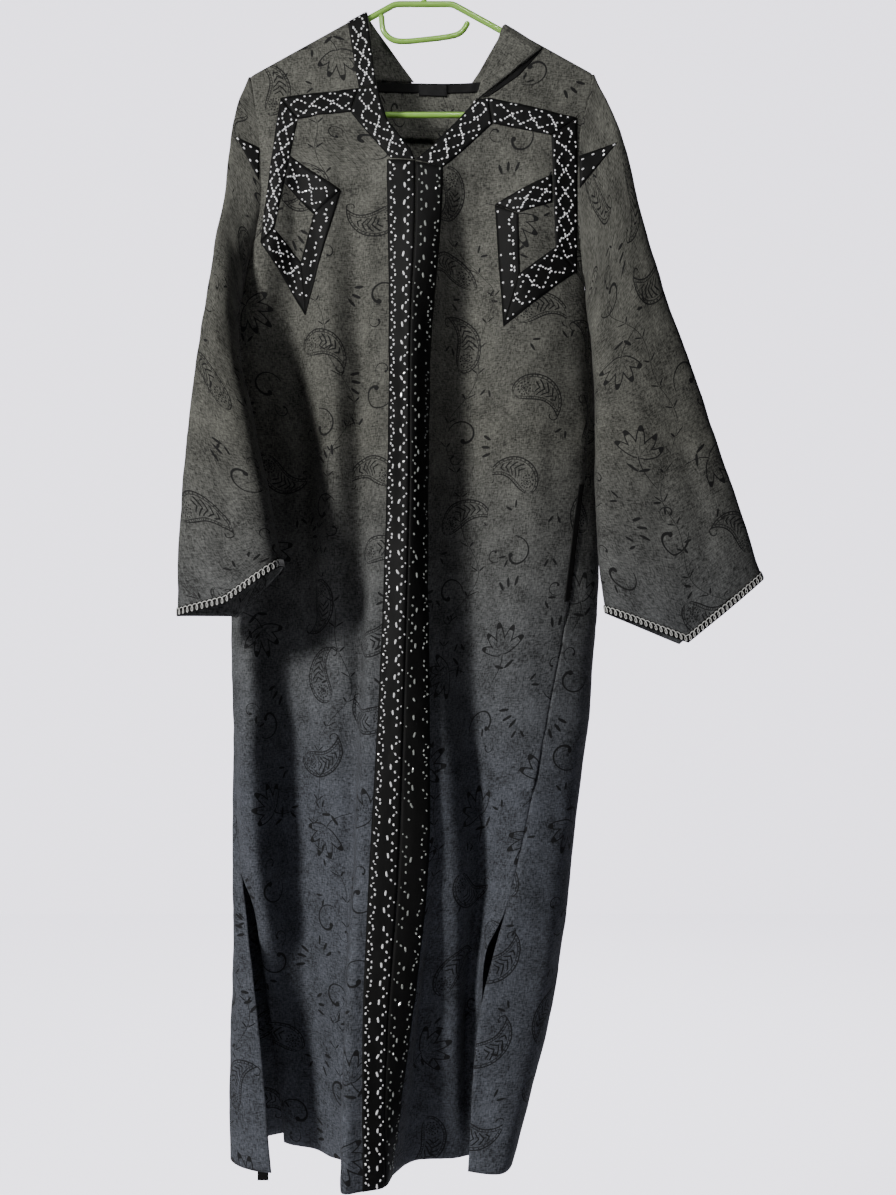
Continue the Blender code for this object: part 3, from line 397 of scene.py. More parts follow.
def rod(name, path, radius, finish, sides=16, closed=False):
    """A round rod: circles set square to a smooth path, with domed ends unless the path is closed."""
    path = np.asarray(path, dtype=float)
    radii = np.full(len(path), radius)
    if closed:
        tangent = np.roll(path, -1, axis=0) - np.roll(path, 1, axis=0)
    else:
        dome = np.array([0.0, 0.35, 0.65, 0.87])
        start = path[0] + unit(path[0] - path[1]) * radius * dome[::-1][:, None]
        end = path[-1] + unit(path[-1] - path[-2]) * radius * dome[:, None]
        narrowed = np.sqrt(1.0 - dome ** 2) * radius
        path = np.concatenate([start, path[1:-1], end])
        radii = np.concatenate([narrowed[::-1], np.full(len(path) - 2 * len(dome), radius), narrowed])
        tangent = np.gradient(path, axis=0)
    side = np.broadcast_to(np.array([0.0, 1.0, 0.0]), tangent.shape)
    up = unit(np.cross(side, unit(tangent)))
    points = cord_rings(path, up, side, radii, sides)
    faces = (grid_quads(len(path) + closed, sides, closed=True) % len(points)).tolist()
    if not closed:
        faces += [range(sides), range(len(points) - sides, len(points))]
    mesh = bpy.data.meshes.new(name)
    mesh.from_pydata(points.tolist(), [], faces)
    work = bmesh.new()
    work.from_mesh(mesh)
    bmesh.ops.recalc_face_normals(work, faces=work.faces[:])
    work.to_mesh(mesh)
    work.free()
    mesh.polygons.foreach_set("use_smooth", np.ones(len(mesh.polygons), dtype=bool))
    return add_object(name, mesh, finish)


LEAST_CUT = 10.1 * MM
LEAST_SHARE = 0.31            # of its rectangle: the least area that a cut is given


def declare_sheet(points):
    """Works out the flat cut of a small piece, its longest row and column and its own area, which are then
    not used.
    """
    a = points[1:, 1:] - points[:-1, :-1]
    b = points[1:, :-1] - points[:-1, 1:]
    area = float(np.linalg.norm(np.cross(a, b), axis=-1).sum() / 2)
    width = float(np.linalg.norm(np.diff(points, axis=1), axis=-1).sum(axis=1).max())
    length = float(np.linalg.norm(np.diff(points, axis=0), axis=-1).sum(axis=0).max())
    width, length = (round(max(size, LEAST_CUT), 4) for size in (width, length))
    area = min(max(area, LEAST_SHARE * width * length), width * length)


def dress(item, slot, *nodes):
    """The piece rides on the one body and stands for its solids; its slot is not used."""
    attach(item, "root")
    if nodes:
        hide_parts(*nodes)
    return item


# ---- the cloth's surface ----
BODY_CREASES = (
    # shoulders and chest
    (((-150, -150), (-120, -240), (-108, -330), (-104, -420)), 2.2, 16),
    (((-60, -300), (-66, -380), (-64, -470), (-58, -560)), 2.0, 9),
    (((60, -320), (84, -420), (96, -520), (88, -640)), 2.0, 18),
    (((120, -430), (112, -560), (104, -700)), -2.4, 12),
    (((160, -440), (150, -560), (140, -680)), 2.2, 14),
    # below the right chest: the soft ridge that runs down beside the band
    (((-102, -880), (-88, -960), (-74, -1030)), 4.0, 9),
    (((-150, -700), (-140, -800), (-138, -900)), -2.5, 16),
    (((-196, -930), (-222, -1020), (-228, -1130)), 2.5, 10),
    (((-236, -820), (-226, -900), (-214, -980)), -2.0, 12),
    # the left skirt
    (((40, -640), (48, -760), (52, -900), (58, -1040)), 2.6, 10),
    (((96, -800), (92, -920), (84, -1040), (80, -1150)), 2.4, 13),
    (((150, -600), (128, -760), (118, -880)), 2.0, 12),
    (((10, -1080), (24, -1200), (30, -1330), (32, -1440)), 2.2, 10),
    (((-96, -1130), (-88, -1260), (-92, -1400)), 2.0, 9),
)


CALM_SHOULDER = 60 * MM       # how far down the creases take to grow
BODY_RIPPLE = 0.8
SLEEVE_RIPPLE = 0.7


def cloth_points(s, z, side, lift=0.0):
    """Cloth of the body at places s and heights z, with its creases and ripples, lift above it."""
    base = ring(s, z, side)
    normals = ring_normals(s, z, side)
    x = base[..., 0]
    drop = np.maximum(shoulder_z(x) - z, 0.0)
    grown = smoothstep(drop / CALM_SHOULDER)
    height = ripple(x, base[..., 2], 3 if side < 0 else 8) * BODY_RIPPLE
    if side < 0:
        height = height + crease_field(x, base[..., 2], BODY_CREASES)
    moved = CLOTH_OUT + height * grown + lift
    return base + normals * np.asarray(moved)[..., None], normals


def row_height(drop, x):
    """Height at x of the row that lies drop below the shoulder line: sloped above, level below."""
    level = smoothstep(drop / LEVEL_AFTER)
    middle = shoulder_z(SHOULDER_MIDDLE)
    return middle - drop + (shoulder_z(x) - middle) * (1.0 - level)


def fine_drops(rows):
    """Drops of the rows below the shoulder line.  Some pass through the V's foot and the slit tops."""
    middle = float(shoulder_z(SHOULDER_MIDDLE))
    foot = 0.2
    for _ in range(30):
        foot += row_height(foot, NECK_FOOT[0]) - NECK_FOOT[1]
    stops = np.array([0.0, 1.2 * MM, 2.4 * MM, 4.5 * MM, 7.0 * MM, 12.0 * MM, 20.0 * MM, foot,
                      middle - SLIT_TOP_RIGHT, middle - SLIT_TOP_LEFT, middle - HEM_Z])
    weights = np.array([1, 1, 1, 1, 2, 2, rows * 0.13, rows * 0.60, rows * 0.04, rows * 0.22])
    counts = np.maximum(1, np.round(weights)).astype(int)
    runs = [np.linspace(a, b, n + 1)[1:] for a, b, n in zip(stops, stops[1:], counts)]
    return np.concatenate([[0.0]] + runs)


def cut_uv(points):
    """Metres of cloth across and down a panel: length along its rows, and the height."""
    return np.stack([open_rows(points), points[..., 2]], axis=-1)


def front_grid(first, last, neck, rows, columns):
    """Places and heights of a front's grid: its rows start at the neck edge, or at the centre."""
    centre = first if first == 0 else last
    seam = last if first == 0 else first
    along = np.linspace(first, last, columns)
    edge = MM * np.array(neck[::-1], dtype=float)
    grid_s = []
    grid_z = []
    for drop in fine_drops(rows):
        z = -0.2
        for _ in range(24):
            x = np.interp(z, edge[:, 1], edge[:, 0])
            z = 0.5 * z + 0.5 * row_height(drop, x)
        if z < NECK_FOOT[1] + 0.5 * MM:
            start = float(centre)
        else:
            near = centre + (seam - centre) * np.linspace(0.0, 0.8, 400)
            x_near = ring(near, np.full(near.shape, z), -1)[:, 0]
            order = np.argsort(x_near)
            start = float(np.interp(x, x_near[order], near[order]))
        s = seam + (along - seam) * (start - seam) / (centre - seam)
        z_row = np.full(s.shape, z)
        for _ in range(8):
            z_row = row_height(drop, ring(s, z_row, -1)[:, 0])
        grid_s.append(s)
        grid_z.append(z_row)
    return np.array(grid_s), np.array(grid_z)


def back_grid(rows, columns):
    """Places and heights of the back's grid: its rows dip across the neck."""
    along = np.linspace(SEAM_R, SEAM_L, columns)
    edge = MM * np.array(BACK_NECK, dtype=float)
    grid_z = []
    for drop in fine_drops(rows):
        kept = 1.0 - smoothstep(drop / SAG_FADES_AFTER)
        z_row = np.full(along.shape, -0.2)
        for _ in range(18):
            x = ring(along, z_row, 1)[:, 0]
            inside = (x > edge[0, 0]) & (x < edge[-1, 0])
            sag = np.where(inside, shoulder_z(x) - np.interp(x, edge[:, 0], edge[:, 1]), 0.0)
            z_row = 0.5 * z_row + 0.5 * (row_height(drop, x) - np.maximum(sag, 0.0) * kept)
        grid_z.append(z_row)
    z = np.array(grid_z)
    return np.broadcast_to(along, z.shape).copy(), z


SIDE_COLUMNS = 3
SIDE_TURN = 0.9 * MM
HEM_ROWS = 2
HEM_TURN = 0.3 * MM


def soft_edges(points, normals):
    """Turns the last rows and columns of a panel in a little, as a sewn edge does."""
    rows, columns = points.shape[:2]
    from_side = np.minimum(np.arange(columns), np.arange(columns)[::-1])
    turned = np.clip(1.0 - from_side / SIDE_COLUMNS, 0.0, 1.0) ** 2
    points -= normals * (SIDE_TURN * turned)[None, :, None]
    hem = np.clip(1.0 - np.arange(rows)[::-1] / HEM_ROWS, 0.0, 1.0) ** 2
    points -= normals * (HEM_TURN * hem)[:, None, None]
    return points


# ---- sleeves ----
def station_values(table, t):
    """The sleeve table's columns at t from 0 to 1, on a cubic through its rows."""
    values = MM * np.array(table, dtype=float).T
    levels = -np.linspace(0.0, 1.0, len(table))
    return smooth_levels(levels, values, -np.asarray(t, dtype=float))


def armhole(turn, seam):
    """The armhole's edge, from the shoulder (0) down the front to the underarm (pi), and up the back."""
    tip = -0.17
    for _ in range(10):
        tip = float(shoulder_z(ring(np.array([float(seam)]), np.array([tip]), -1)[0, 0]))
    z = tip + (UNDERARM_Z - tip) * (1 - np.cos(turn)) / 2
    s = np.full(turn.shape, float(seam))
    return np.where((np.sin(turn) >= 0)[:, None], ring(s, z, -1), ring(s, z, 1))


def ovals(table, t, cos, forward):
    """Rings between a sleeve's outer and inner line at t, that stand forward and back of its middle."""
    out_x, out_z, in_x, in_z, mid_y, half = station_values(table, t)[:, :, None]
    return np.stack([(out_x + in_x) / 2 + (out_x - in_x) / 2 * cos, mid_y - half * forward,
                     (out_z + in_z) / 2 + (out_z - in_z) / 2 * cos], axis=-1)


def sleeve_points(table, dips, seam, t, turn):
    """A sleeve: ovals that take up the armhole's form at its head.  Below the head the front is flatter
    than an oval, sin ** (1 - FLATTER), and the right one's leans: it stands further out towards its
    inner edge."""
    cos = np.cos(turn)
    sin = np.sin(turn)
    below = np.where(sin > 0, smoothstep(t / ARMHOLE_REACH)[:, None], 0.0)
    lean = FRONT_LEAN if seam == SEAM_R else 0.0
    flat = np.sign(sin) * np.abs(sin) ** (1.0 - (FLATTER + FLATTER_LEANING * lean) * below)
    points = ovals(table, t, cos, flat * (1.0 - lean * below * cos) / (1.0 + 0.6 * lean * below))
    head = armhole(turn, seam)
    low = ((1 - cos) / 2) ** 4
    high = ((1 + cos) / 2) ** 8
    head[:, 0] += OUTWARD[seam] * (0.4 * MM + 2.0 * MM * low + 1.2 * MM * high)
    head[:, 2] += 1.5 * MM * low
    weight = (1.0 - smoothstep(t / ARMHOLE_REACH))[:, None, None]
    points = points + weight * (head - ovals(table, np.array([0.0]), cos, sin))
    dip = np.where(sin >= 0, dips[0], dips[1]) * (1.0 - np.abs(cos))
    points[:, :, 2] -= dip[None, :] * (t ** 4)[:, None]
    return points


SLEEVE_CREASES_LEFT = (
    (((300, -560), (318, -640), (340, -720), (352, -800)), -3.5, 13),
    (((262, -590), (268, -680), (276, -780)), 2.2, 12),
    (((232, -300), (252, -400), (270, -500)), 2.4, 14),
    (((222, -470), (250, -500), (290, -590)), 1.8, 10),
)
SLEEVE_CREASES_RIGHT = (
    (((-232, -330), (-240, -450), (-250, -560), (-252, -660)), 2.4, 12),
    (((-214, -600), (-222, -690), (-232, -780)), -2.4, 12),
    (((-262, -560), (-268, -650), (-266, -740)), 1.8, 9),
)


def sleeve_surface(table, dips, seam, creases, t, turn):
    """A sleeve's cloth with its creases and ripples."""
    points = sleeve_points(table, dips, seam, t, turn)
    normals = grid_normals(points, closed=True)
    calm = smoothstep(t / 0.08)[:, None]
    height = ripple(points[..., 0], points[..., 2], 21 if seam == SEAM_R else 22) * SLEEVE_RIPPLE
    height = height + crease_field(points[..., 0], points[..., 2], creases) * (np.sin(turn) > 0)
    return points + normals * (CLOTH_OUT + height * calm)[..., None], normals


SEAM_TUCK = 1.3 * MM
HEAD_TUCK = 4.0 * MM
SLEEVE_SHIFT = np.array([3.1, 0.7])


def make_sleeve(name, node, table, dips, seam, creases, rows=150, columns=112):
    """One sleeve's shell, and what its trims need: its points, normals and turns."""
    turn = np.linspace(0.0, 2 * math.pi, columns, endpoint=False)
    if seam == SEAM_R:
        turn = turn[::-1]
    t = np.concatenate([np.linspace(0.0, 0.06, 8)[:-1], np.linspace(0.06, 1.0, rows - 7)])
    points, normals = sleeve_surface(table, dips, seam, creases, t, turn)
    points[0] -= normals[0] * SEAM_TUCK
    points[0, :, 0] -= OUTWARD[seam] * HEAD_TUCK
    steps, across = round_rows(points)
    fall = np.linalg.norm(np.diff(points, axis=0), axis=-1).mean(axis=1)
    down = np.concatenate([[0.0], np.cumsum(fall)])
    uv = np.stack([across, np.broadcast_to(-down[:, None], across.shape)], axis=-1)
    item = cloth_shell(name, points, normals, CLOTH_HALF, cloth, uv + SLEEVE_SHIFT, closed=True)
    dress(item, "cloth", node, node + "_lower")
    return {"item": item, "points": points, "normals": normals, "turn": turn, "t": t}


# ---- ribbons ----
def find_place(x, z, low, high, side=-1):
    """Place along the ring that has a given x at a height, by halving the span where x falls."""
    a = np.full(x.shape, float(low))
    b = np.full(x.shape, float(high))
    rising = ring(b, z, side)[..., 0] > ring(a, z, side)[..., 0]
    for _ in range(26):
        middle = (a + b) / 2
        below = ring(middle, z, side)[..., 0] < x
        go_up = below == rising
        a = np.where(go_up, middle, a)
        b = np.where(go_up, b, middle)
    return (a + b) / 2


def settle(x, z, cloud, cloud_normals):
    """Depth of a surface at x and z, from the flat patches round its four nearest points."""
    at_x, at_z = x.ravel()[:, None], z.ravel()[:, None]
    gaps = (at_x - cloud[:, 0]) ** 2 + (at_z - cloud[:, 2]) ** 2
    nearest = np.argpartition(gaps, 4, axis=1)[:, :4]
    picked = cloud[nearest]
    facing = cloud_normals[nearest]
    fall = facing[..., 0] * (at_x - picked[..., 0]) + facing[..., 2] * (at_z - picked[..., 2])
    depth = picked[..., 1] - fall / np.minimum(facing[..., 1], -0.2)
    weight = 1.0 / (np.take_along_axis(gaps, nearest, axis=1) + 1e-7)
    total = weight.sum(axis=1)
    y = (depth * weight).sum(axis=1) / total
    normal = unit((facing * weight[..., None]).sum(axis=1) / total[:, None])
    return y.reshape(x.shape), normal.reshape(x.shape + (3,))


def strip_uv(points):
    """Metres along and across a ribbon: mean arc lengths of its rows and columns."""
    along = np.linalg.norm(np.diff(points, axis=0), axis=-1).mean(axis=1)
    u = np.concatenate([[0.0], np.cumsum(along)])
    v = open_rows(points)
    v = v - v[:, -1:] / 2
    return np.stack([np.broadcast_to(u[:, None], v.shape), v], axis=-1)


def ribbon_crown(columns):
    """Height across a ribbon: level, turned down over its last part at both edges."""
    v = np.abs(np.linspace(-1.0, 1.0, columns))
    return -RIBBON_TURN * smoothstep((v - RIBBON_LEVEL) / (1.0 - RIBBON_LEVEL))


def lay_ribbon(name, node, points, normals, on):
    """A flat ribbon whose two edges are turned down, lying on a piece of cloth."""
    points, normals = face_out(points, normals)
    crown = ribbon_crown(points.shape[1])[None, :, None]
    uv = strip_uv(points)
    item = cloth_shell(name, points + normals * crown, normals, RIBBON_THICK / 2, black_ribbon, uv)
    dress(item, "ribbon", node)
    declare_sheet(points)
    return {"points": points, "normals": normals, "uv": uv, "width": float(uv[:, -1, 1].mean() * 2),
            "length": float(uv[-1, 0, 0])}


def front_ribbon(name, node, s, z, on):
    """A ribbon on a front, from its grid of places and heights."""
    return lay_ribbon(name, node, *cloth_points(s, z, -1, CLOTH_HALF + RIBBON_LIFT), on)


RIBBON_COLUMNS = 9
NECK_ROWS = 60
MOTIF_ROW = 5                 # mm along a chest ribbon from one row to the next
MOTIF_LEAST_ROWS = 6
CENTRE_ROWS = 190
CENTRE_COLUMNS = 11


def quad_grid(corners, rows, columns, inset=0.25):
    """x and z inside four corners: straight blends of its two ends, then of its two edges.  The corners
    are outer edge start, outer edge end, inner edge end, inner edge start."""
    line = MM * np.array(corners, dtype=float)
    middle = line.mean(axis=0)
    line = line + (middle - line) * (inset * MM / np.linalg.norm(middle - line, axis=1))[:, None]
    u = np.linspace(0.0, 1.0, rows)[:, None, None]
    v = np.linspace(0.0, 1.0, columns)[None, :, None]
    outer = line[0] * (1 - u) + line[1] * u
    inner = line[3] * (1 - u) + line[2] * u
    grid = outer * (1 - v) + inner * v
    return grid[..., 0], grid[..., 1]


def edge_run(line, rows):
    """Evenly spaced points along a line of several runs."""
    line = MM * np.array(line, dtype=float)
    lengths = run_lengths(line)
    place = np.linspace(0.0, lengths[-1], rows)
    return np.stack([np.interp(place, lengths, line[:, k]) for k in range(2)], axis=-1)


def between_runs(outer, inner, rows, columns):
    """x and z on straight blends from one run to another."""
    v = np.linspace(0.0, 1.0, columns)[None, :, None]
    grid = edge_run(outer, rows)[:, None] * (1 - v) + edge_run(inner, rows)[:, None] * v
    return grid[..., 0], grid[..., 1]


def face_out(points, normals):
    """The grid with its columns turned round where its faces would look inwards."""
    along = points[1, 0] - points[0, 0]
    across = points[0, 1] - points[0, 0]
    if np.cross(across, along) @ normals[0, 0] < 0:
        return points[:, ::-1], normals[:, ::-1]
    return points, normals


def centre_grid(span, tops):
    """Places and heights of a centre ribbon: the stretch of the ring beside the centre line, from the V
    to the hem.  Its top is cut on the slant between two heights."""
    down = np.linspace(0.0, 1.0, CENTRE_ROWS)[:, None]
    top = np.linspace(tops[0], tops[1], CENTRE_COLUMNS)[None, :]
    return np.linspace(span[0], span[1], CENTRE_COLUMNS) * np.ones_like(down), top + (HEM_Z - top) * down


# ---- stones and braid ----
STONE_SIDES = 8
STONE_ROUND = 0.75
STONE_LIFT = RIBBON_THICK / 2 - 0.05 * MM


def stone_mesh():
    """A faceted stone of size 1: an eight-sided girdle, a smaller table above it and a flat back."""
    turn = np.linspace(0.0, 2 * math.pi, STONE_SIDES, endpoint=False) + math.pi / STONE_SIDES
    way = np.stack([np.cos(turn), np.sin(turn), 0 * turn], axis=-1)
    girdle = np.sign(way) * np.abs(way) ** STONE_ROUND / 2
    table = girdle * np.array([0.55, 0.5, 1.0]) + np.array([0.0, 0.0, 1.0])
    faces = [[k, (k + 1) % STONE_SIDES, (k + 1) % STONE_SIDES + STONE_SIDES, k + STONE_SIDES]
             for k in range(STONE_SIDES)]
    faces.append(list(range(STONE_SIDES, 2 * STONE_SIDES)))
    faces.append(list(range(STONE_SIDES))[::-1])
    return np.concatenate([girdle, table]), faces


def set_stones(name, places, normals, along, sizes, finish):
    """Copies of a stone, each turned to its own direction on the ribbon, joined in one mesh."""
    base, faces = stone_mesh()
    across = unit(np.cross(normals, along))
    along = np.cross(across, normals)
    x = base[None, :, 0:1] * sizes[:, None, 0:1] * along[:, None, :]
    y = base[None, :, 1:2] * sizes[:, None, 1:2] * across[:, None, :]
    z = (base[None, :, 2:3] * sizes[:, None, 2:3] + STONE_LIFT) * normals[:, None, :]
    points = (places[:, None, :] + x + y + z).reshape(-1, 3)
    mesh = bpy.data.meshes.new(name)
    all_faces = [[i + k * len(base) for i in face] for k in range(len(places)) for face in faces]
    mesh.from_pydata(points.tolist(), [], all_faces)
    return dress(add_object(name, mesh, finish), "braid")


def on_ribbon(strip, u, v):
    """Points, normals and along-directions of a ribbon at metres along it and across it."""
    uv = strip["uv"]
    rows, columns = uv.shape[:2]
    row = np.interp(u, uv[:, 0, 0], np.arange(rows))
    half = strip["width"] / 2
    column = np.clip((v / half + 1.0) / 2.0, 0.0, 1.0) * (columns - 1)
    r0 = np.minimum(row.astype(int), rows - 2)
    c0 = np.minimum(column.astype(int), columns - 2)
    fr = (row - r0)[:, None]
    fc = (column - c0)[:, None]

    def blend(field):
        top = field[r0, c0] * (1 - fc) + field[r0, c0 + 1] * fc
        low = field[r0 + 1, c0] * (1 - fc) + field[r0 + 1, c0 + 1] * fc
        return top * (1 - fr) + low * fr

    normals = unit(blend(strip["normals"]))
    along = unit(strip["points"][r0 + 1, c0] - strip["points"][r0, c0])
    across = strip["points"][r0, c0 + 1] - strip["points"][r0, c0]
    across = unit(across - normals * (across * normals).sum(axis=-1, keepdims=True))
    return blend(strip["points"]), normals, along, across


CHAIN_PITCH = 27.0 * MM
CHAIN_HALF = 0.30             # of the ribbon's width: how far the chains of stones swing
COLUMN_PITCH = 21.5 * MM
# stones of one pitch: place along it, place across the width, direction, length and width in mm
COLUMN_STONES = ((0.16, -0.37, 0.5, 3.4, 2.4), (0.34, -0.24, 0.3, 3.4, 2.4), (0.58, -0.23, -0.3, 3.4, 2.4),
                 (0.76, -0.36, -0.5, 3.2, 2.2), (0.96, -0.30, 1.4, 3.2, 1.2), (0.46, 0.12, 0.0, 7.0, 2.8),
                 (0.20, 0.27, -0.5, 3.6, 2.6), (0.74, 0.27, 0.5, 3.6, 2.6), (0.02, 0.40, 0.0, 2.4, 1.8))
DOT_STEP = 14.0 * MM
ZIGZAG_PITCH = 20.0 * MM
END_MARGIN = 2.5 * MM


def inside_length(rows, length):
    """A table of stones without those that would reach past the ribbon's ends."""
    table = np.array(rows)
    return table[(table[:, 0] > END_MARGIN) & (table[:, 0] < length - END_MARGIN)]


def chain_pattern(length, width):
    """Stones of a ribbon as metres along and across, direction and size.  Two zigzag chains of separate
    stones cross to make linked diamonds, with small ones along both edges beside each crossing."""
    swing = CHAIN_HALF * width
    lean = 0.8 * math.atan2(swing, 0.5 * CHAIN_PITCH)
    table = [stone for f, v in ((0.06, 0.16), (0.20, 0.42), (0.345, 0.74))
             for stone in ((f, v * swing, lean, 3.1, 2.2), (1.0 - f, v * swing, -lean, 3.1, 2.2))]
    table += [(0.5, swing, 0.0, 4.0, 2.5), (0.12, 0.41 * width, 0.0, 3.0, 2.0),
              (0.90, 0.40 * width, 0.3, 2.6, 2.0)]
    return inside_length([((k + f) * CHAIN_PITCH, sign * v, sign * turn, long, wide)
                          for k in range(-1, int(length / CHAIN_PITCH) + 2) for sign in (-1, 1)
                          for f, v, turn, long, wide in table], length)


def column_pattern(length, width):
    """Stones of the two ribbons down the middle: a column of small bows and a column of long dashes,
    each with two dots.  The bows lie by the outer edge and the dashes beside the closing."""
    pitches = range(int(length / COLUMN_PITCH) + 1)
    return inside_length([((k + f) * COLUMN_PITCH, v * width, lean, long, wide)
                          for k in pitches for f, v, lean, long, wide in COLUMN_STONES], length)


def dot_pattern(length, width):
    """Stones of the darker ribbon lengths: one column of round dots near the outer edge and a narrow
    zigzag chain beside it."""
    rows = [((k + 0.5) * DOT_STEP, -0.36 * width, 0.0, 2.8, 2.8) for k in range(int(length / DOT_STEP) + 1)]
    for k in range(int(length / ZIGZAG_PITCH) + 1):
        for f in (0.125, 0.375, 0.625, 0.875):
            wave = 1 - abs(4 * ((f + 0.25) % 1.0) - 2)
            rows.append(((k + f) * ZIGZAG_PITCH, (0.16 + 0.16 * wave) * width, 0.9 if f < 0.5 else -0.9,
                         3.6, 2.4))
    return inside_length(rows, length)


FEW_LOST = 0.04


def stud(name, strip, pattern, finish, lost=FEW_LOST, facing=1.0):
    """Sets a pattern of stones on a ribbon, a little unevenly and with a share of them lost.  It faces
    across the ribbon one way or the other."""
    table = pattern(strip["length"], strip["width"]) * np.array([1.0, facing, facing, 1.0, 1.0])
    seed = np.random.default_rng(len(table))
    table = table[seed.uniform(size=len(table)) > lost]
    u, v, lean, long, wide = table.T
    points, normals, along, across = on_ribbon(strip, u + seed.normal(0, 0.6 * MM, len(u)),
                                               v + seed.normal(0, 0.5 * MM, len(u)))
    lean = lean + seed.normal(0, 0.25, len(u))
    normals = unit(normals + seed.normal(0, 0.17, normals.shape))
    direction = along * np.cos(lean)[:, None] + across * np.sin(lean)[:, None]
    sizes = np.stack([long, wide, 0.5 + 0.22 * wide], axis=-1) * MM
    return set_stones(name, points, normals, direction, sizes, finish)


LOOP_PITCH = 6.5 * MM
LOOP_POINTS = 16
LOOP_LEAN = 0.42              # of the pitch
LOOP_REACH = 3.9 * MM         # each way from the loops' middle line
LOOP_MIDDLE = 5.0 * MM        # from the edge to that line
CORD_LIFT = 1.5 * MM
CORD_RISE = 0.45 * MM         # at the crossings
CORD_R = 0.62 * MM
CORD_SIDES = 6


def looped_braid(name, edge, outward, normals, finish):
    """A thin cord laid in close loops along a closed edge."""
    closed = np.concatenate([edge, edge[:1]])
    lengths = run_lengths(closed)
    loops = int(round(lengths[-1] / LOOP_PITCH))
    phase = np.linspace(0.0, 2 * math.pi * loops, loops * LOOP_POINTS, endpoint=False)
    place = phase / (2 * math.pi * loops) * lengths[-1] - LOOP_LEAN * LOOP_PITCH * np.sin(phase)
    place = place % lengths[-1]
    centre, wide, lift = (np.stack([np.interp(place, lengths, np.append(field[:, k], field[0, k]))
                                    for k in range(3)], axis=-1) for field in (edge, outward, normals))
    reach = LOOP_REACH * np.cos(phase) - LOOP_MIDDLE
    height = CORD_LIFT + CORD_RISE * np.sin(phase)
    path = centre + wide * reach[:, None] + lift * height[:, None]
    tangent = unit(np.roll(path, -1, axis=0) - np.roll(path, 1, axis=0))
    first = unit(np.cross(tangent, lift))
    points = cord_rings(path, first, np.cross(tangent, first), np.full(len(path), CORD_R), CORD_SIDES)
    quads = grid_quads(len(path) + 1, CORD_SIDES, closed=True) % len(points)
    return dress(new_object(name, points, quads, finish), "braid")


# ---- shader trees ----
class Signal:
    """A value in a shader tree.  Formulas on signals add the Math nodes that work them out."""

    def __init__(self, tree, socket):
        self.tree = tree
        self.socket = socket

    def __add__(self, other):
        return calc("ADD", self, other)

    def __sub__(self, other):
        return calc("SUBTRACT", self, other)

    def __rsub__(self, other):
        return calc("SUBTRACT", other, self)

    def __mul__(self, other):
        return calc("MULTIPLY", self, other)

    def __truediv__(self, other):
        return calc("DIVIDE", self, other)

    __radd__ = __add__
    __rmul__ = __mul__


def fill(node, terms):
    """Joins signals to a node's sockets, and sets the others to the numbers or colours given."""
    for title, term in (terms.items() if isinstance(terms, dict) else enumerate(terms)):
        if isinstance(term, Signal):
            term.tree.links.new(term.socket, node.inputs[title])
        else:
            node.inputs[title].default_value = term


def add_node(tree, kind, terms=(), output=0, **settings):
    """A new shader node with its settings and sockets filled.  Returns one of its outputs."""
    node = tree.nodes.new("ShaderNode" + kind)
    for title, value in settings.items():
        setattr(node, title, value)
    fill(node, terms)
    return Signal(tree, node.outputs[output])


def all_outputs(signal):
    """All outputs of the node that a signal comes from."""
    return [Signal(signal.tree, socket) for socket in signal.socket.node.outputs]


def calc(operation, *terms, clamp=False):
    """One Math node on signals and numbers."""
    tree = next(term.tree for term in terms if isinstance(term, Signal))
    return add_node(tree, "Math", terms, operation=operation, use_clamp=clamp)


absolute = partial(calc, "ABSOLUTE")
fraction = partial(calc, "FRACT")
whole = partial(calc, "FLOOR")
sine = partial(calc, "SINE")
cosine = partial(calc, "COSINE")
turn_of = partial(calc, "ARCTAN2")
larger = partial(calc, "MAXIMUM")
smaller = partial(calc, "MINIMUM")
is_above = partial(calc, "GREATER_THAN")
is_below = partial(calc, "LESS_THAN")


def root(a):
    """The square root, 0 below 0."""
    return calc("SQRT", larger(a, 0.0))


def length_of(x, y):
    """The length of a flat vector."""
    return root(x * x + y * y)


def within(a, low, high):
    """1 where a lies between two numbers."""
    return is_above(a, low) * is_below(a, high)


def in_oval(x, y, half_x, half_y):
    """1 inside an oval."""
    return is_below(x * x / half_x ** 2 + y * y / half_y ** 2, 1.0)


INK_SOFT = 0.30 * MM


def ink_inside(distance):
    """1 where distance is below 0, fading over a soft edge."""
    return calc("MULTIPLY_ADD", distance, -1.0 / INK_SOFT, 1.0, clamp=True)


def ink_line(distance, half_width):
    """1 on a line of that half width round distance 0, fading over a soft edge."""
    return ink_inside(absolute(distance) - half_width)


def new_group(name, inputs, outputs):
    """An empty shader node group.  Returns it, its input signals, and a call that joins a signal to one
    of its outputs."""
    tree = bpy.data.node_groups.new(name, "ShaderNodeTree")
    for way, titles in (("INPUT", inputs), ("OUTPUT", outputs)):
        for title in titles:
            tree.interface.new_socket(name=title, in_out=way, socket_type="NodeSocketFloat")
    source = tree.nodes.new("NodeGroupInput")
    sink = tree.nodes.new("NodeGroupOutput")

    def put(title, signal):
        fill(sink, {title: signal})

    return tree, [Signal(tree, source.outputs[title]) for title in inputs], put


def combine(x, y, z=0.0):
    """A vector from signals and numbers."""
    return add_node(x.tree, "CombineXYZ", (x, y, z))


def split(vector):
    """The three parts of a vector signal."""
    return all_outputs(add_node(vector.tree, "SeparateXYZ", (vector,)))


def cloud_noise(vector, detail=3.0, roughness=0.55):
    """Noise from 0 to 1 at a vector."""
    return add_node(vector.tree, "TexNoise", {"Vector": vector, "Scale": 1.0, "Detail": detail,
                                              "Roughness": roughness})


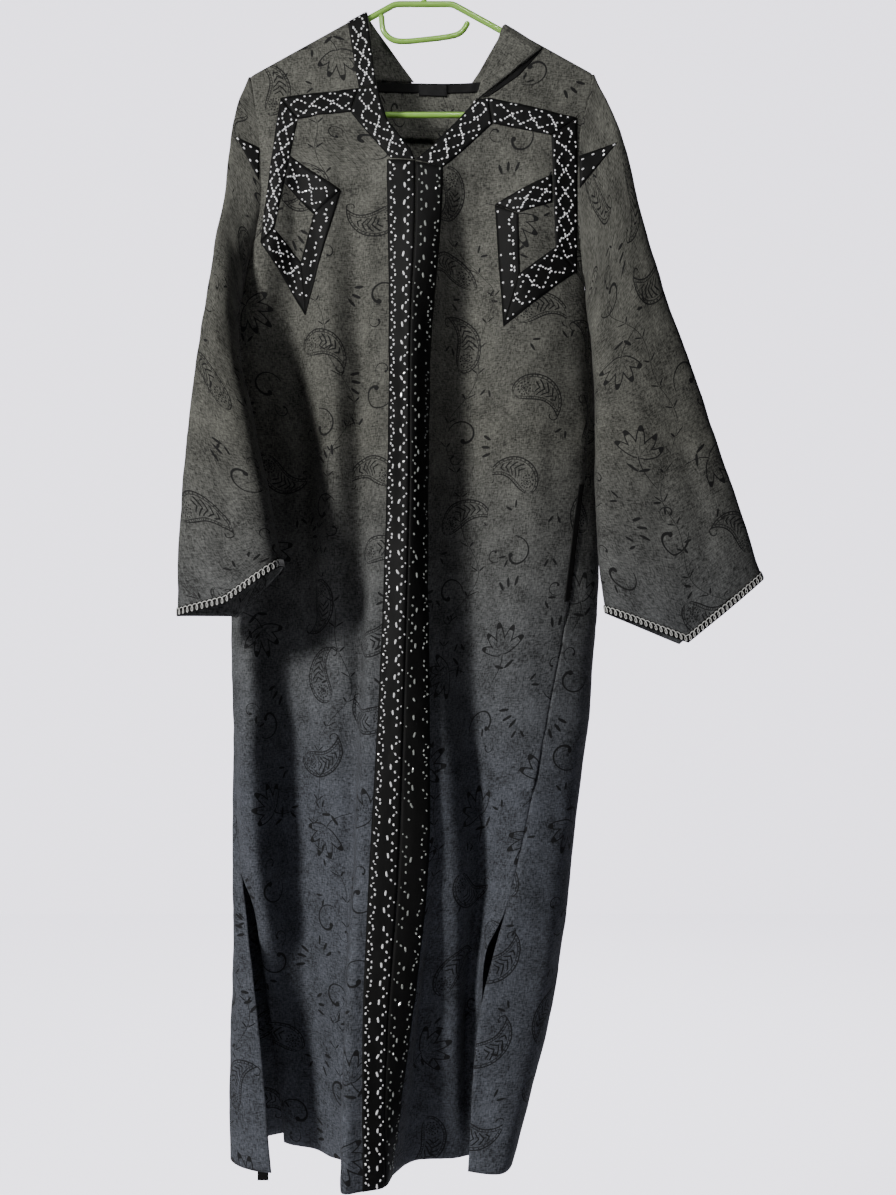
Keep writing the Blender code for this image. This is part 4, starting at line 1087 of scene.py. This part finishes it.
def dice(vector):
    """Three random numbers from 0 to 1 that stay the same for one vector."""
    return split(add_node(vector.tree, "TexWhiteNoise", {"Vector": vector}, "Color"))


def turned(x, y, angle):
    """A point turned by an angle, which is a signal or a number."""
    if isinstance(angle, Signal):
        c, s = cosine(angle), sine(angle)
    else:
        c, s = math.cos(angle), math.sin(angle)
    return x * c - y * s, x * s + y * c


# ---- the print's figures ----
def paisley_group():
    """A drop bent round an arc: round at one end, drawn out and hooked at the other.  Inside two thin
    outlines it has a dotted flower in its round end and bold leaves one above another towards its tip.
    Its half width is size * root(t) * (1 - t), t along the arc."""
    tree, (x, y), put = new_group("paisley figure", ("X", "Y"), ("Ink",))
    bend = 34 * MM
    length = 82 * MM
    x = x + 22 * MM
    y = y + 22 * MM
    along = turn_of(y, x) * bend
    across = length_of(x, y) - bend
    t = along / length
    distance = absolute(across) - 40 * MM * root(t) * larger(1.0 - t, 0.0)
    ink = ink_line(distance, 0.62 * MM)
    ink = larger(ink, ink_line(distance + 3.2 * MM, 0.32 * MM))
    scallop = absolute(fraction(along / (4.6 * MM)) - 0.5)
    ink = larger(ink, ink_line(distance + 1.7 * MM, 0.5 * MM) * is_below(scallop, 0.16))
    leaf = fraction((along + 0.85 * absolute(across)) / (6.6 * MM))
    ink = larger(ink, within(leaf, 0.10, 0.44) * within(t, 0.36, 0.80) * is_below(distance, -5.4 * MM))
    # the flower
    out = along - 0.19 * length
    r = length_of(across, out)
    angle = turn_of(across, out)
    petals = 4.6 * MM * (0.76 + 0.24 * cosine(angle * 6.0))
    bloom = larger(ink_line(r - petals, 0.45 * MM), ink_inside(r - 1.3 * MM))
    dots = absolute(fraction(angle * (12 / (2 * math.pi))) - 0.5)
    dotted = ink_line(r - 7.6 * MM, 0.8 * MM) * is_below(dots, 0.24)
    ink = larger(ink, larger(bloom, dotted) * is_below(distance, -3.6 * MM))
    # the hook at the tip
    past_tip = along - length
    hook = ink_line(length_of(past_tip, across + 5.2 * MM) - 5.2 * MM, 0.55 * MM)
    put("Ink", larger(ink * within(t, 0.0, 1.0), hook * is_above(past_tip, -3.4 * MM)))
    return tree


def lotus_group():
    """Five pointed petals that fan out from one foot, in thin outlines with bold tips, on a short stalk
    with two leaves.  A petal's half width is size * root(q * (1 - q)), q out along the petal."""
    tree, (x, y), put = new_group("lotus figure", ("X", "Y"), ("Ink",))
    y = y + 14 * MM
    r = length_of(x, y)
    angle = turn_of(x, y)
    step = 0.56
    number = larger(smaller(calc("ROUND", angle / step), 2.0), -2.0)
    off = angle - number * step
    q = r * cosine(off) / (40 * MM - 3.4 * MM * absolute(number))
    sideways = r * sine(off)
    half = 12.5 * MM * root(q * (1.0 - q)) * (1.0 - 0.35 * q)
    distance = absolute(sideways) - half
    in_petal = within(q, 0.02, 1.0)
    ink = ink_line(distance, 0.62 * MM) * in_petal
    tip = is_above(q, 0.80) * ink_inside(distance) * in_petal
    vein = ink_line(sideways, 0.22 * MM) * within(q, 0.15, 0.62)
    ink = larger(ink, larger(tip, 0.7 * vein))
    stalk = ink_line(x - 20.0 * y * y, 0.5 * MM) * within(y, -34 * MM, 0.0)
    leaf_x = absolute(x) - 7 * MM
    leaf = in_oval(leaf_x, y + 16 * MM - 0.5 * leaf_x, 6.5 * MM, 2.1 * MM)
    put("Ink", larger(ink, larger(stalk, leaf)))
    return tree


def curl_group():
    """A C-shaped tendril, part of a spiral: thick and rolled at one end, drawn out thin at the other,
    with a smaller one beside it and three leaf dashes."""
    tree, (middle_x, middle_y), put = new_group("curl figure", ("X", "Y"), ("Ink",))
    inks = []
    for at_x, at_y, size, turn in ((4 * MM, 4 * MM, 1.0, 0.0), (-18 * MM, -20 * MM, 0.52, 2.2)):
        x, y = turned((middle_x - at_x) / size, (middle_y - at_y) / size, turn)
        angle = turn_of(y, x)
        grown = (angle + 2.3) / 4.9
        path = absolute(length_of(x, y) - (9 * MM + 15 * MM * grown * grown))
        arc = ink_inside(path - (0.4 * MM + 1.3 * MM * (1.0 - grown))) * within(angle, -2.3, 2.6)
        inks.append(larger(arc, ink_inside(length_of(x + 5.0 * MM, y + 6.0 * MM) - 3.0 * MM)))
    for at_x, at_y, lean in ((26 * MM, -22 * MM, 0.5), (32 * MM, -12 * MM, 0.9), (24 * MM, -32 * MM, 0.1)):
        inks.append(in_oval(*turned(middle_x - at_x, middle_y - at_y, lean), 6.4 * MM, 1.9 * MM))
    put("Ink", reduce(larger, inks))
    return tree


FIGURE_WIDE = 88 * MM
FIGURE_TALL = 102 * MM
VINE_STEP = 236 * MM
VINE_LEAF_STEP = 31 * MM
SPRIG_STEP = 53 * MM


def print_group():
    """The whole print on metres of cloth: figures in staggered cells, each turned and chosen at random,
    fine vines that wander between them, and small sprigs of leaf dashes."""
    tree, (across, down), put = new_group("paisley print", ("Across", "Down"), ("Ink",))
    figures = (paisley_group(), lotus_group(), curl_group())
    column_place = across / FIGURE_WIDE
    column = whole(column_place)
    row_place = down / FIGURE_TALL + 0.5 * calc("FLOORED_MODULO", column, 2.0)
    row = whole(row_place)
    a, b, c = dice(combine(column, row, 3.0))
    x = (column_place - column - 0.5) * FIGURE_WIDE + (a - 0.5) * (8 * MM)
    y = (row_place - row - 0.5) * FIGURE_TALL + (b - 0.5) * (14 * MM)
    x, y = turned(x, y, (b - 0.5) * 2.4 + 3.1416 * is_above(c, 0.62))
    x = x * (2.0 * is_above(a, 0.5) - 1.0)
    inks = [add_node(tree, "Group", (x, y), node_tree=figure) for figure in figures]
    kind = fraction(a * 7.0 + c * 3.0)
    picks = (is_below(kind, 0.42), within(kind, 0.42, 0.68), is_above(kind, 0.68))
    ink = inks[0] * picks[0] + inks[1] * picks[1] + inks[2] * picks[2]
    # fine vines with leaves
    sway = 26 * MM * sine(down * 19.0) + 9 * MM * sine(down * 53.0 + 1.0)
    vine = (fraction((across + sway) / VINE_STEP) - 0.5) * VINE_STEP
    ink = larger(ink, 0.8 * ink_line(vine, 0.33 * MM))
    leaf_y = (fraction(down / VINE_LEAF_STEP) - 0.5) * VINE_LEAF_STEP - 0.7 * absolute(vine) + 3 * MM
    ink = larger(ink, in_oval(absolute(vine) - 5.0 * MM, leaf_y, 4.2 * MM, 1.1 * MM))
    # sprigs of dashes in a finer grid
    column = whole(across / SPRIG_STEP)
    row = whole(down / SPRIG_STEP)
    a, _, c = dice(combine(column, row, 9.0))
    x = (across / SPRIG_STEP - column - 0.5) * SPRIG_STEP
    y = (down / SPRIG_STEP - row - 0.5) * SPRIG_STEP
    x, y = turned(x, y, a * 6.2832)
    r = length_of(x, y)
    wedge = fraction(turn_of(x, y) * (6 / (2 * math.pi))) - 0.5
    dash = in_oval(wedge * r * 1.05, r - 10.5 * MM, 1.5 * MM, 5.0 * MM)
    sprig = dash * is_above(y, 2 * MM)
    ink = larger(ink, sprig * is_below(c, 0.34) * is_below(ink, 0.05))
    put("Ink", smaller(ink, 1.0))
    return tree


def weave_group():
    """A heathered plain weave: threads stretched across and down the cloth, each a little lighter or
    darker, and a fine over-and-under ripple for the bump."""
    tree, (across, down), put = new_group("heathered weave", ("Across", "Down"), ("Tone", "Height"))
    warp = cloud_noise(combine(across * 560.0, down * 190.0))
    weft = cloud_noise(combine(across * 190.0, down * 560.0, 5.0))
    blotch = cloud_noise(combine(across * 34.0, down * 26.0, 2.0), 5.0, 0.65)
    put("Tone", (warp + weft - 1.0) * 2.7 + (blotch - 0.5) * 2.2)
    put("Height", warp * 0.5 + weft * 0.5 + sine(across * 5200.0) * sine(down * 5200.0) * 0.18)
    return tree


# ---- finishes ----
def new_material(name):
    """A material with one Principled shader.  Returns it, its tree and the shader."""
    finish = bpy.data.materials.new(name)
    finish.use_nodes = True
    return finish, finish.node_tree, finish.node_tree.nodes["Principled BSDF"]


def cut_place(tree):
    """Metres across and down the cut, from the mesh's own UVs."""
    return split(add_node(tree, "UVMap", uv_map="cut"))[:2]


def mix_colour(factor, first, second):
    """A colour between two, which are signals or four numbers."""
    return add_node(factor.tree, "Mix", {0: factor, 6: first, 7: second}, 2, data_type="RGBA")


def bump(height, distance, strength):
    """The direction of a surface made uneven by a field of height."""
    return add_node(height.tree, "Bump", {"Strength": strength, "Distance": distance, "Height": height})


def camera_glow(tree, seen, given):
    """A strength for the camera, and another for the light given off."""
    return calc("MULTIPLY_ADD", add_node(tree, "LightPath", output="Is Camera Ray"), seen - given, given)


def cloth_finish(name, print_effect, weave_effect):
    """Charcoal heathered wool with a fine black print.  Painted light: its colour takes the warm light's tint
    above and the cooler, bluish light's tint below.
    """
    finish, tree, shader = new_material(name)
    place = cut_place(tree)
    tone, threads = all_outputs(add_node(tree, "Group", place, node_tree=weave_effect))
    height = split(add_node(tree, "TexCoord", output="Object"))[2]
    # painted light: how much of the cool, bluish light's tint the colour takes, more further down
    low = calc("MULTIPLY_ADD", height, -1.0 / PAINTED_COOL_LIGHT_DROP, PAINTED_COOL_LIGHT_START / PAINTED_COOL_LIGHT_DROP, clamp=True)
    colour = add_node(tree, "VectorMath", {0: mix_colour(low, CLOTH_UNDER_PAINTED_WARM_LIGHT, CLOTH_UNDER_PAINTED_COOL_LIGHT),
                                           "Scale": larger(tone + 1.0, 0.25)}, operation="SCALE")
    if print_effect is not None:
        ink = add_node(tree, "Group", place, node_tree=print_effect)
        colour = mix_colour(ink * 0.95, colour, INK)
    fill(shader, {"Base Color": colour, "Roughness": 0.82, "Specular IOR Level": 0.25, "Sheen Weight": 0.06,
                  "Sheen Roughness": 0.4, "Normal": bump(threads, 0.25 * MM, 0.6)})
    return finish


def ribbon_finish():
    """Black satin ribbon with fine ribs across its length."""
    finish, tree, shader = new_material("black satin ribbon")
    along, across = cut_place(tree)
    ribs = sine(along * (2 * math.pi / (1.3 * MM)))
    grain = cloud_noise(combine(along * 900.0, across * 90.0))
    fill(shader, {"Base Color": RIBBON_BLACK, "Roughness": 0.60, "Specular IOR Level": 0.10,
                  "Normal": bump(ribs * 0.5 + grain, 0.10 * MM, 0.5)})
    return finish


def label_finish():
    """Black woven label with a plain face."""
    finish, tree, shader = new_material("blank woven label")
    along, across = (sine(way * (2 * math.pi / (0.5 * MM))) for way in cut_place(tree))
    fill(shader, {"Base Color": LABEL_BLACK, "Roughness": 0.7, "Specular IOR Level": 0.15,
                  "Normal": bump(along * across, 0.08 * MM, 0.5)})
    return finish


def plain_finish(name, colour, roughness, coat=0.0):
    """One colour all over, with or without a clear coat."""
    finish, _, shader = new_material(name)
    fill(shader, {"Base Color": (*colour, 1.0), "Roughness": roughness, "Coat Weight": coat})
    return finish


# painted light: the cloth's colour as tinted by the warm light above and by the cooler, bluish light below
CLOTH_UNDER_PAINTED_WARM_LIGHT = (0.076, 0.076, 0.066, 1.0)
CLOTH_UNDER_PAINTED_COOL_LIGHT = (0.055, 0.060, 0.072, 1.0)
PAINTED_COOL_LIGHT_START = -0.62            # the height where the painted cool light's tint begins, and how far down it takes until that tint is strongest
PAINTED_COOL_LIGHT_DROP = 0.45              # takes until it looks coolest
INK = (0.004, 0.004, 0.0045, 1.0)
RIBBON_BLACK = (0.006, 0.006, 0.006, 1.0)
LABEL_BLACK = (0.012, 0.012, 0.0125, 1.0)

heathered = weave_group()
cloth = cloth_finish("printed charcoal wool", print_group(), heathered)
plain_cloth = cloth_finish("plain charcoal wool", None, heathered)
black_ribbon = ribbon_finish()
stone = plain_finish("white faceted stone", (0.98, 0.98, 1.0), 0.22, 1.0)
# painted shade: a darker grey copy of the white stone, for the stones of the centre ribbon that lies in shade
stone_with_painted_shade = plain_finish("faceted stone with painted shade", (0.30, 0.32, 0.30), 0.22, 0.8)
braid = plain_finish("silver-white cord", (0.55, 0.55, 0.53), 0.45)
plastic = plain_finish("light green plastic", (0.23, 0.46, 0.065), 0.32, 0.3)


# ---- the robe's panels ----
def body_panel(name, nodes, s, z, side, shift):
    """One panel of the body from its grid of places and heights."""
    points, normals = cloth_points(s, z, side)
    points = soft_edges(points, normals)
    item = cloth_shell(name, points, normals, CLOTH_HALF, cloth, cut_uv(points) + np.array(shift))
    dress(item, "cloth", *nodes)
    length = float(points[..., 2].max() - points[..., 2].min())


# each cloth's UVs are shifted, so that its part of the print is its own
body_panel("right_front_cloth", ["front_right"], *front_grid(0, SEAM_R, FRONT_RIGHT_NECK, 220, 90), -1,
           (0.0, 0.0))
body_panel("left_front_cloth", ["front_left", "front_left_skirt"],
           *front_grid(SEAM_L, COUNT, FRONT_LEFT_NECK, 220, 90), -1, (1.37, 0.21))
body_panel("back_cloth", ["back_panel"], *back_grid(180, 130), 1, (2.2, 0.4))

sleeve_r = make_sleeve("right_sleeve_cloth", "sleeve_right", SLEEVE_RIGHT, CUFF_DIP_RIGHT, SEAM_R,
                       SLEEVE_CREASES_RIGHT)
sleeve_l = make_sleeve("left_sleeve_cloth", "sleeve_left", SLEEVE_LEFT, CUFF_DIP_LEFT, SEAM_L,
                       SLEEVE_CREASES_LEFT)


# ---- cuffs ----
STRIP_HALF = 0.4 * MM         # half the strip's thickness
STRIP_LIFT = 0.55 * MM
STRIP_OVERHANG = 0.3 * MM


def cuff_trim(side, sleeve):
    """A black strip round a cuff with silver-white cord looped along it."""
    edge = sleeve["points"][-1]
    up = unit(sleeve["points"][-5] - edge)
    out = sleeve["normals"][-1]
    rise = np.linspace(BRAID_WIDTH, -STRIP_OVERHANG, 5)[:, None, None]
    points = edge[None] + up[None] * rise + out[None] * (CLOTH_HALF + STRIP_LIFT)
    normals = np.broadcast_to(out, points.shape)
    steps, along = round_rows(edge[None])
    uv = np.stack(np.broadcast_arrays(along, rise[..., 0]), axis=-1)
    item = cloth_shell(f"{side}_cuff_strip", points, normals, STRIP_HALF, black_ribbon, uv, closed=True)
    dress(item, "braid", f"cuff_braid_{side}")
    looped_braid(f"{side}_cuff_cord", edge, -up, out, braid)


cuff_trim("right", sleeve_r)
cuff_trim("left", sleeve_l)

# ---- ribbons and stones on the fronts ----
SPAN_RIGHT = (0.0, SEAM_R - 0.02)
SPAN_LEFT = (SEAM_L + 0.02, float(COUNT))
FRONT_SIDES = {"right": ("right_front_cloth", SPAN_RIGHT), "left": ("left_front_cloth", SPAN_LEFT)}

for node, outer_run, inner_run in NECK_RIBBONS:
    on, span = FRONT_SIDES["right" if "right" in node else "left"]
    x, z = between_runs(outer_run, inner_run, NECK_ROWS, RIBBON_COLUMNS)
    strip = front_ribbon(node + "_satin", node, find_place(x, z, *span), z, on)
    if node != "neck_band_left_upper":
        stud(node + "_stones", strip, chain_pattern, stone)

for side, table in (("right", MOTIF_RIGHT), ("left", MOTIF_LEFT)):
    on, span = FRONT_SIDES[side]
    for title, start, end in zip(LENGTH_NAMES, table, table[1:]):
        rows = max(MOTIF_LEAST_ROWS, int(math.dist(start[:2], end[:2]) / MOTIF_ROW))
        x, z = quad_grid((start[:2], end[:2], end[2:], start[2:]), rows, RIBBON_COLUMNS)
        strip = front_ribbon(f"{side}_motif_{title}", f"motif_{side}_{title}", find_place(x, z, *span), z, on)
        stud(f"{side}_motif_{title}_stones", strip, dot_pattern if title == "inner" else chain_pattern, stone)

# side, places, heights of the slanting top, stones, share of them lost, and which way they face across
for side, places, tops, stones, lost, facing in (
        ("right", (0.01, 1.0), (-284.5 * MM, -282.0 * MM), stone, FEW_LOST, -1.0),
        # the left centre ribbon's stones take the stone copy with painted shade
        ("left", (COUNT - 0.01, COUNT - 1.0), (-285.5 * MM, -291.5 * MM), stone_with_painted_shade, 0.30, 1.0)):
    strip = front_ribbon(f"centre_ribbon_{side}", f"centre_band_{side}", *centre_grid(places, tops),
                         FRONT_SIDES[side][0])
    stud(f"centre_ribbon_{side}_stones", strip, column_pattern, stones, lost, facing)


# ---- spikes on the sleeves ----
# places of a spike's stones: share of its length, share of its width
SPIKE_PLACES = np.array([(0.12, 0.15), (0.12, 0.5), (0.12, 0.85), (0.4, 0.2), (0.4, 0.8), (0.66, 0.3),
                         (0.66, 0.75), (0.9, 0.5)])
SPIKE_STONE = np.array([4.0, 2.2, 1.0]) * MM


def sleeve_spike(side, corners, sleeve):
    """A ribbon point that runs from the motif's mitre out on to the sleeve."""
    first, tip, last = corners
    x, z = quad_grid((first, tip, tip, last), 12, 7, inset=0.4)
    near = np.ix_(sleeve["t"] < 0.55, np.sin(sleeve["turn"]) > 0.05)
    depth, normals = settle(x, z, *(sleeve[field][near].reshape(-1, 3) for field in ("points", "normals")))
    points = np.stack([x, depth, z], axis=-1) + normals * (CLOTH_HALF + RIBBON_LIFT)
    strip = lay_ribbon(f"{side}_spike", f"spike_{side}", points, normals, sleeve["item"].name)
    rows, columns = np.round(SPIKE_PLACES * (np.array(points.shape[:2]) - 1)).astype(int).T
    spots = strip["points"][rows, columns]
    along = unit(strip["points"][rows - 1, columns] - spots)
    set_stones(f"{side}_spike_stones", spots, strip["normals"][rows, columns], along,
               np.tile(SPIKE_STONE, (len(spots), 1)), stone)


sleeve_spike("right", SPIKE_RIGHT, sleeve_r)
sleeve_spike("left", SPIKE_LEFT, sleeve_l)


# ---- neck ----
SPAN_BACK = (SEAM_R + 0.02, SEAM_L - 0.02)
# the cloth that a patch rests on: its side of the ring, and the span where a place is looked for
PATCH_ON = {"left_front_cloth": (-1, SPAN_LEFT), "back_cloth": (1, SPAN_BACK),
            "back_neck_facing_piece": (1, SPAN_BACK)}
TAPE_HALF = 0.35 * MM


def patch(node, outer, inner, on, lift, finish, slot, rows=24, columns=24, roll=None):
    """A piece laid on a panel between two runs, lift above its cloth, with an optional field of height
    over its two ways."""
    side, span = PATCH_ON[on]
    x, z = between_runs(outer, inner, rows, columns)
    s = find_place(x, z, *span, side)
    if roll is not None:
        lift = lift + roll(np.linspace(0.0, 1.0, rows)[:, None], np.linspace(0.0, 1.0, columns)[None, :])
    points, normals = face_out(*cloth_points(s, z, side, lift))
    half = CLOTH_HALF if slot == "cloth" else TAPE_HALF
    item = cloth_shell(node + "_piece", points, normals, half, finish, strip_uv(points))
    dress(item, slot, node)
    declare_sheet(points)


def fold_roll(u, v):
    """The hood's turned-back edge: a soft flat roll that stands up at its outer edge, highest near the
    shoulder, and sinks into the neck, with one shallow dent along it."""
    stand = MM * (0.4 + 5.6 * smoothstep(u / 0.10) * (1.0 - 0.8 * u))
    body = stand * np.sqrt(1.0 - v ** 3) * (0.72 + 0.28 * smoothstep(v / 0.10))
    dent = 1.0 * MM * np.exp(-((v - 0.45 - 0.10 * u) / 0.14) ** 2) * smoothstep(u / 0.2) * (1.0 - u)
    return body - dent


patch("hood_shoulder_fold", ((146.8, -136.0), (67.2, -205.5)), ((100, -105.5), (84, -148), (63.4, -206)),
      "left_front_cloth", 1.3 * MM, plain_cloth, "cloth", 60, 26, fold_roll)
patch("hood_corner", ((-66, -99.5), (-66, -163.2)), ((-65.4, -99.8), (-13, -163.2)),
      "back_cloth", -1.5 * MM, plain_cloth, "cloth")
patch("back_neck_facing", ((-71, -164.5), (77.5, -165.2)), ((-66, -176.6), (77.5, -176.6)),
      "back_cloth", -1.3 * MM, black_ribbon, "ribbon", 60, 8)
patch("neck_label", ((-7, -166), (29, -166)), ((-7, -180.5), (29, -180.5)),
      "back_neck_facing_piece", -2.6 * MM, label_finish(), "ribbon", 20, 12)
# painted shade: the welt is black satin, standing for the shade inside the pocket's opening
patch("pocket_welt", ((197.5, -679), (180, -824)), ((192, -679), (173, -824)),
      "left_front_cloth", 1.0 * MM, black_ribbon, "cloth", 60, 8)


# ---- hood ----
# share of the way down, half width, half depth and depth of the middle, in mm
HOOD_SECTIONS = ((0.0, 104, 16, 50.6), (0.15, 116, 19, 60), (0.4, 112, 21, 76), (0.7, 78, 19, 90),
                 (0.9, 38, 14, 96), (1.0, 14, 8, 99))
HOOD_TIP_Z = -520.0 * MM
HOOD_RIM_Z = -176.0 * MM
HOOD_MIDDLE_X = 8 * MM
HOOD_PRINT_SHIFT = 4.2


def make_hood(rows=120, columns=120):
    """An open bag behind the back: ovals that narrow to the tip, with soft hanging folds."""
    table = np.array(HOOD_SECTIONS, dtype=float)
    turn = np.linspace(0.0, 2 * math.pi, columns, endpoint=False)
    t = np.linspace(0.0, 1.0, rows)
    half_width, half_depth, middle = (MM * np.interp(t, table[:, 0], table[:, k])[:, None] for k in (1, 2, 3))
    side = np.cos(turn)[None, :]
    back = np.sin(turn)[None, :]
    rim = HOOD_RIM_Z + 45 * MM * side ** 2 - 20 * MM * np.maximum(back, 0.0)
    x = HOOD_MIDDLE_X - half_width * side
    z = rim + (HOOD_TIP_Z - rim) * t[:, None]
    points = np.stack([x, middle + half_depth * back, z], axis=-1)
    normals = grid_normals(points, closed=True)
    rear = smoothstep(back + 0.1)
    folds = 3.2 * MM * np.sin(9.0 * side + 2.0 * np.sin(3.0 * t[:, None])) * smoothstep(t[:, None] / 0.25)
    folds = folds * (1.0 - 0.7 * t[:, None]) * rear
    middle_seam = -1.6 * MM * np.exp(-(side / 0.05) ** 2) * rear
    points = points + normals * (folds + middle_seam)[..., None]
    steps, across = round_rows(points)
    uv = np.stack([across + HOOD_PRINT_SHIFT, points[..., 2]], axis=-1)
    item = cloth_shell("hood_cloth", points, normals, CLOTH_HALF, cloth, uv, closed=True)
    dress(item, "cloth", "hood")
    drop = float(points[..., 2].max() - points[..., 2].min())


make_hood()


# ---- hem tab ----
def make_tab():
    """A short folded tape below the right slit's corner: down in front and up again behind."""
    drop = np.linspace(-1520.4, -1530.6, 14) * MM
    z = np.concatenate([drop, drop[::-1]])[:, None]
    y = np.repeat([-39.3 * MM, -38.5 * MM], 14)[:, None]
    x = np.linspace(-202.6, -189.4, 8)[None, :] * MM
    points = np.stack(np.broadcast_arrays(x, y, z), axis=-1)
    item = cloth_shell("hem_tab_tape", points, grid_normals(points), 0.2 * MM, black_ribbon,
                       strip_uv(points))
    dress(item, "ribbon", "hem_tab")


make_tab()

# ---- hanger ----
ROD_R = 3.8 * MM
STRAP_ROD_R = 3.5 * MM
HOOK_R = 25.5 * MM
HOOK_ROD_R = 3.5 * MM
TOP_BAR_HALF = 36.0 * MM
TOP_BAR_Z = -77.5 * MM
BAR_Z = -216.0 * MM
BAR_SHORTER = 16.0 * MM       # at each end, than the span from tip to tip
TIP_X = 203.0 * MM
TIP_BELOW_SHOULDER = 7.2 * MM
# x and z of the strap hook's middle line, in mm
STRAP_LINE = ((-53, -93.3), (-51.5, -108), (-46, -117), (-37, -122.5), (-24, -124), (0, -122), (34, -117.5),
              (47, -112), (54, -102))


def rounded_path(corners, radius, steps=10):
    """A closed path through corners, each one rounded by an arc."""
    corners = np.asarray(corners, dtype=float)
    count = len(corners)
    path = []
    for i in range(count):
        here = corners[i]
        before = unit(corners[i - 1] - here)
        after = unit(corners[(i + 1) % count] - here)
        angle = math.acos(np.clip(before @ after, -1, 1))
        middle = here + (before + after) / np.linalg.norm(before + after) * radius[i] / math.sin(angle / 2)
        start = here + before * radius[i] / math.tan(angle / 2) - middle
        end = here + after * radius[i] / math.tan(angle / 2) - middle
        sweep = math.pi - angle
        a = np.linspace(0.0, 1.0, steps + 1)[:, None]
        path.append(middle + (np.sin((1 - a) * sweep) * start + np.sin(a * sweep) * end) / math.sin(sweep))
    return np.concatenate(path)


def make_hanger():
    """The bars of the frame, the hook on its top bar, and the strap hook in its neck."""
    tip_z = float(shoulder_z(TIP_X)) - TIP_BELOW_SHOULDER
    corners = [(-TOP_BAR_HALF, 0, TOP_BAR_Z), (TOP_BAR_HALF, 0, TOP_BAR_Z), (TIP_X, 0, tip_z),
               (TIP_X - BAR_SHORTER, 0, BAR_Z), (-TIP_X + BAR_SHORTER, 0, BAR_Z), (-TIP_X, 0, tip_z)]
    radius = [0.02, 0.02, 0.010, 0.016, 0.016, 0.010]
    dress(rod("hanger_bars", rounded_path(corners, radius), ROD_R, plastic, closed=True), "hanger_plastic",
          "hanger_frame")
    foot = TOP_BAR_Z + ROD_R + 0.3 * MM
    centre = -(HOOK_R - HOOK_ROD_R)
    stem = [(0, 0, z) for z in np.linspace(foot, centre - HOOK_R, 6)[:-1]]
    angles = np.radians(np.linspace(-90, 205, 60))
    arc = [(HOOK_R * math.cos(a), 0, centre + HOOK_R * math.sin(a)) for a in angles]
    dress(rod("hanger_hook_bar", stem + arc, HOOK_ROD_R, plastic), "hanger_plastic", "hanger_hook")
    strap = MM * np.array(STRAP_LINE)
    place = np.linspace(0.0, len(strap) - 1, 50)
    knots = np.clip(np.stack([np.floor(place) + k for k in (-1, 0, 1, 2)]), 0, len(strap) - 1).astype(int)
    t = (place - np.floor(place))[:, None]
    line = hermite(strap[knots[1]], strap[knots[2]], (strap[knots[2]] - strap[knots[0]]) / 2,
                   (strap[knots[3]] - strap[knots[1]]) / 2, t)
    path = np.stack([line[:, 0], 0 * line[:, 0], line[:, 1]], axis=-1)
    dress(rod("strap_bar", path, STRAP_ROD_R, plastic), "hanger_plastic", "strap_hook")


make_hanger()


# ---- backdrop, light and camera ----
FLOOR_Z = -2.1
WALL_Y = 3.8
WALL_TOP = 6.0
FLOOR_FRONT = -7.0
SHEET_HALF = 9.0
ROOM_LIGHT = (0.86, 0.88, 0.94, 1.0)


def flat_sheet(name, near, far, finish):
    """One wide flat face between two levels, each given by its y and z."""
    corners = [(-SHEET_HALF, *near), (SHEET_HALF, *near), (SHEET_HALF, *far), (-SHEET_HALF, *far)]
    mesh = bpy.data.meshes.new(name)
    mesh.from_pydata(corners, [], [(0, 1, 2, 3)])
    return add_object(name, mesh, finish)


def area_light(name, place, target, size, power, colour, spread=math.pi):
    """A square light that faces its target."""
    lamp = bpy.data.lights.new(name, "AREA")
    lamp.shape = "SQUARE"
    lamp.size = size
    lamp.energy = power
    lamp.color = colour
    lamp.spread = spread
    item = bpy.data.objects.new(name, lamp)
    item.location = place
    item.rotation_euler = (Vector(target) - Vector(place)).to_track_quat("-Z", "Y").to_euler()
    bpy.context.collection.objects.link(item)


backdrop_finish, backdrop_tree, backdrop_shader = new_material("pale lavender grey")
fill(backdrop_shader, {"Base Color": (0.74, 0.74, 0.79, 1.0), "Roughness": 0.9,
                       "Emission Color": (0.80, 0.77, 0.88, 1.0),
                       "Emission Strength": camera_glow(backdrop_tree, 2.75, 0.05)})
flat_sheet("backdrop", (WALL_Y, FLOOR_Z), (WALL_Y, WALL_TOP), backdrop_finish)
flat_sheet("floor", (FLOOR_FRONT, FLOOR_Z), (WALL_Y, FLOOR_Z), backdrop_finish)

area_light("key", (-2.62, -2.5, 0.30), (0.0, 0.0, -0.75), 0.55, 160.0, (1.0, 0.99, 0.97))
area_light("low fill", (1.0, -3.0, -1.2), (0.0, 0.0, -0.9), 1.6, 1.0, (0.90, 0.95, 1.0))
area_light("neck fill", (0.10, -1.0, 0.35), (0.01, 0.0, -0.22), 0.12, 0.20, (1.0, 1.0, 1.0),
           math.radians(34))
area_light("back light", (0.4, 3.0, 0.3), (0.0, 0.0, -0.8), 1.2, 60.0, (0.95, 0.97, 1.0))

world = bpy.data.worlds.new("room")
world.use_nodes = True
fill(world.node_tree.nodes["Background"], (ROOM_LIGHT, camera_glow(world.node_tree, 1.72, 0.02)))
bpy.context.scene.world = world

lens = bpy.data.cameras.new("camera")
lens.lens = 40.97
camera = bpy.data.objects.new("camera", lens)
camera.location = (0.030, -1.7, -0.819)
camera.rotation_euler = (math.pi / 2, 0.0, 0.0)
bpy.context.collection.objects.link(camera)
bpy.context.scene.camera = camera
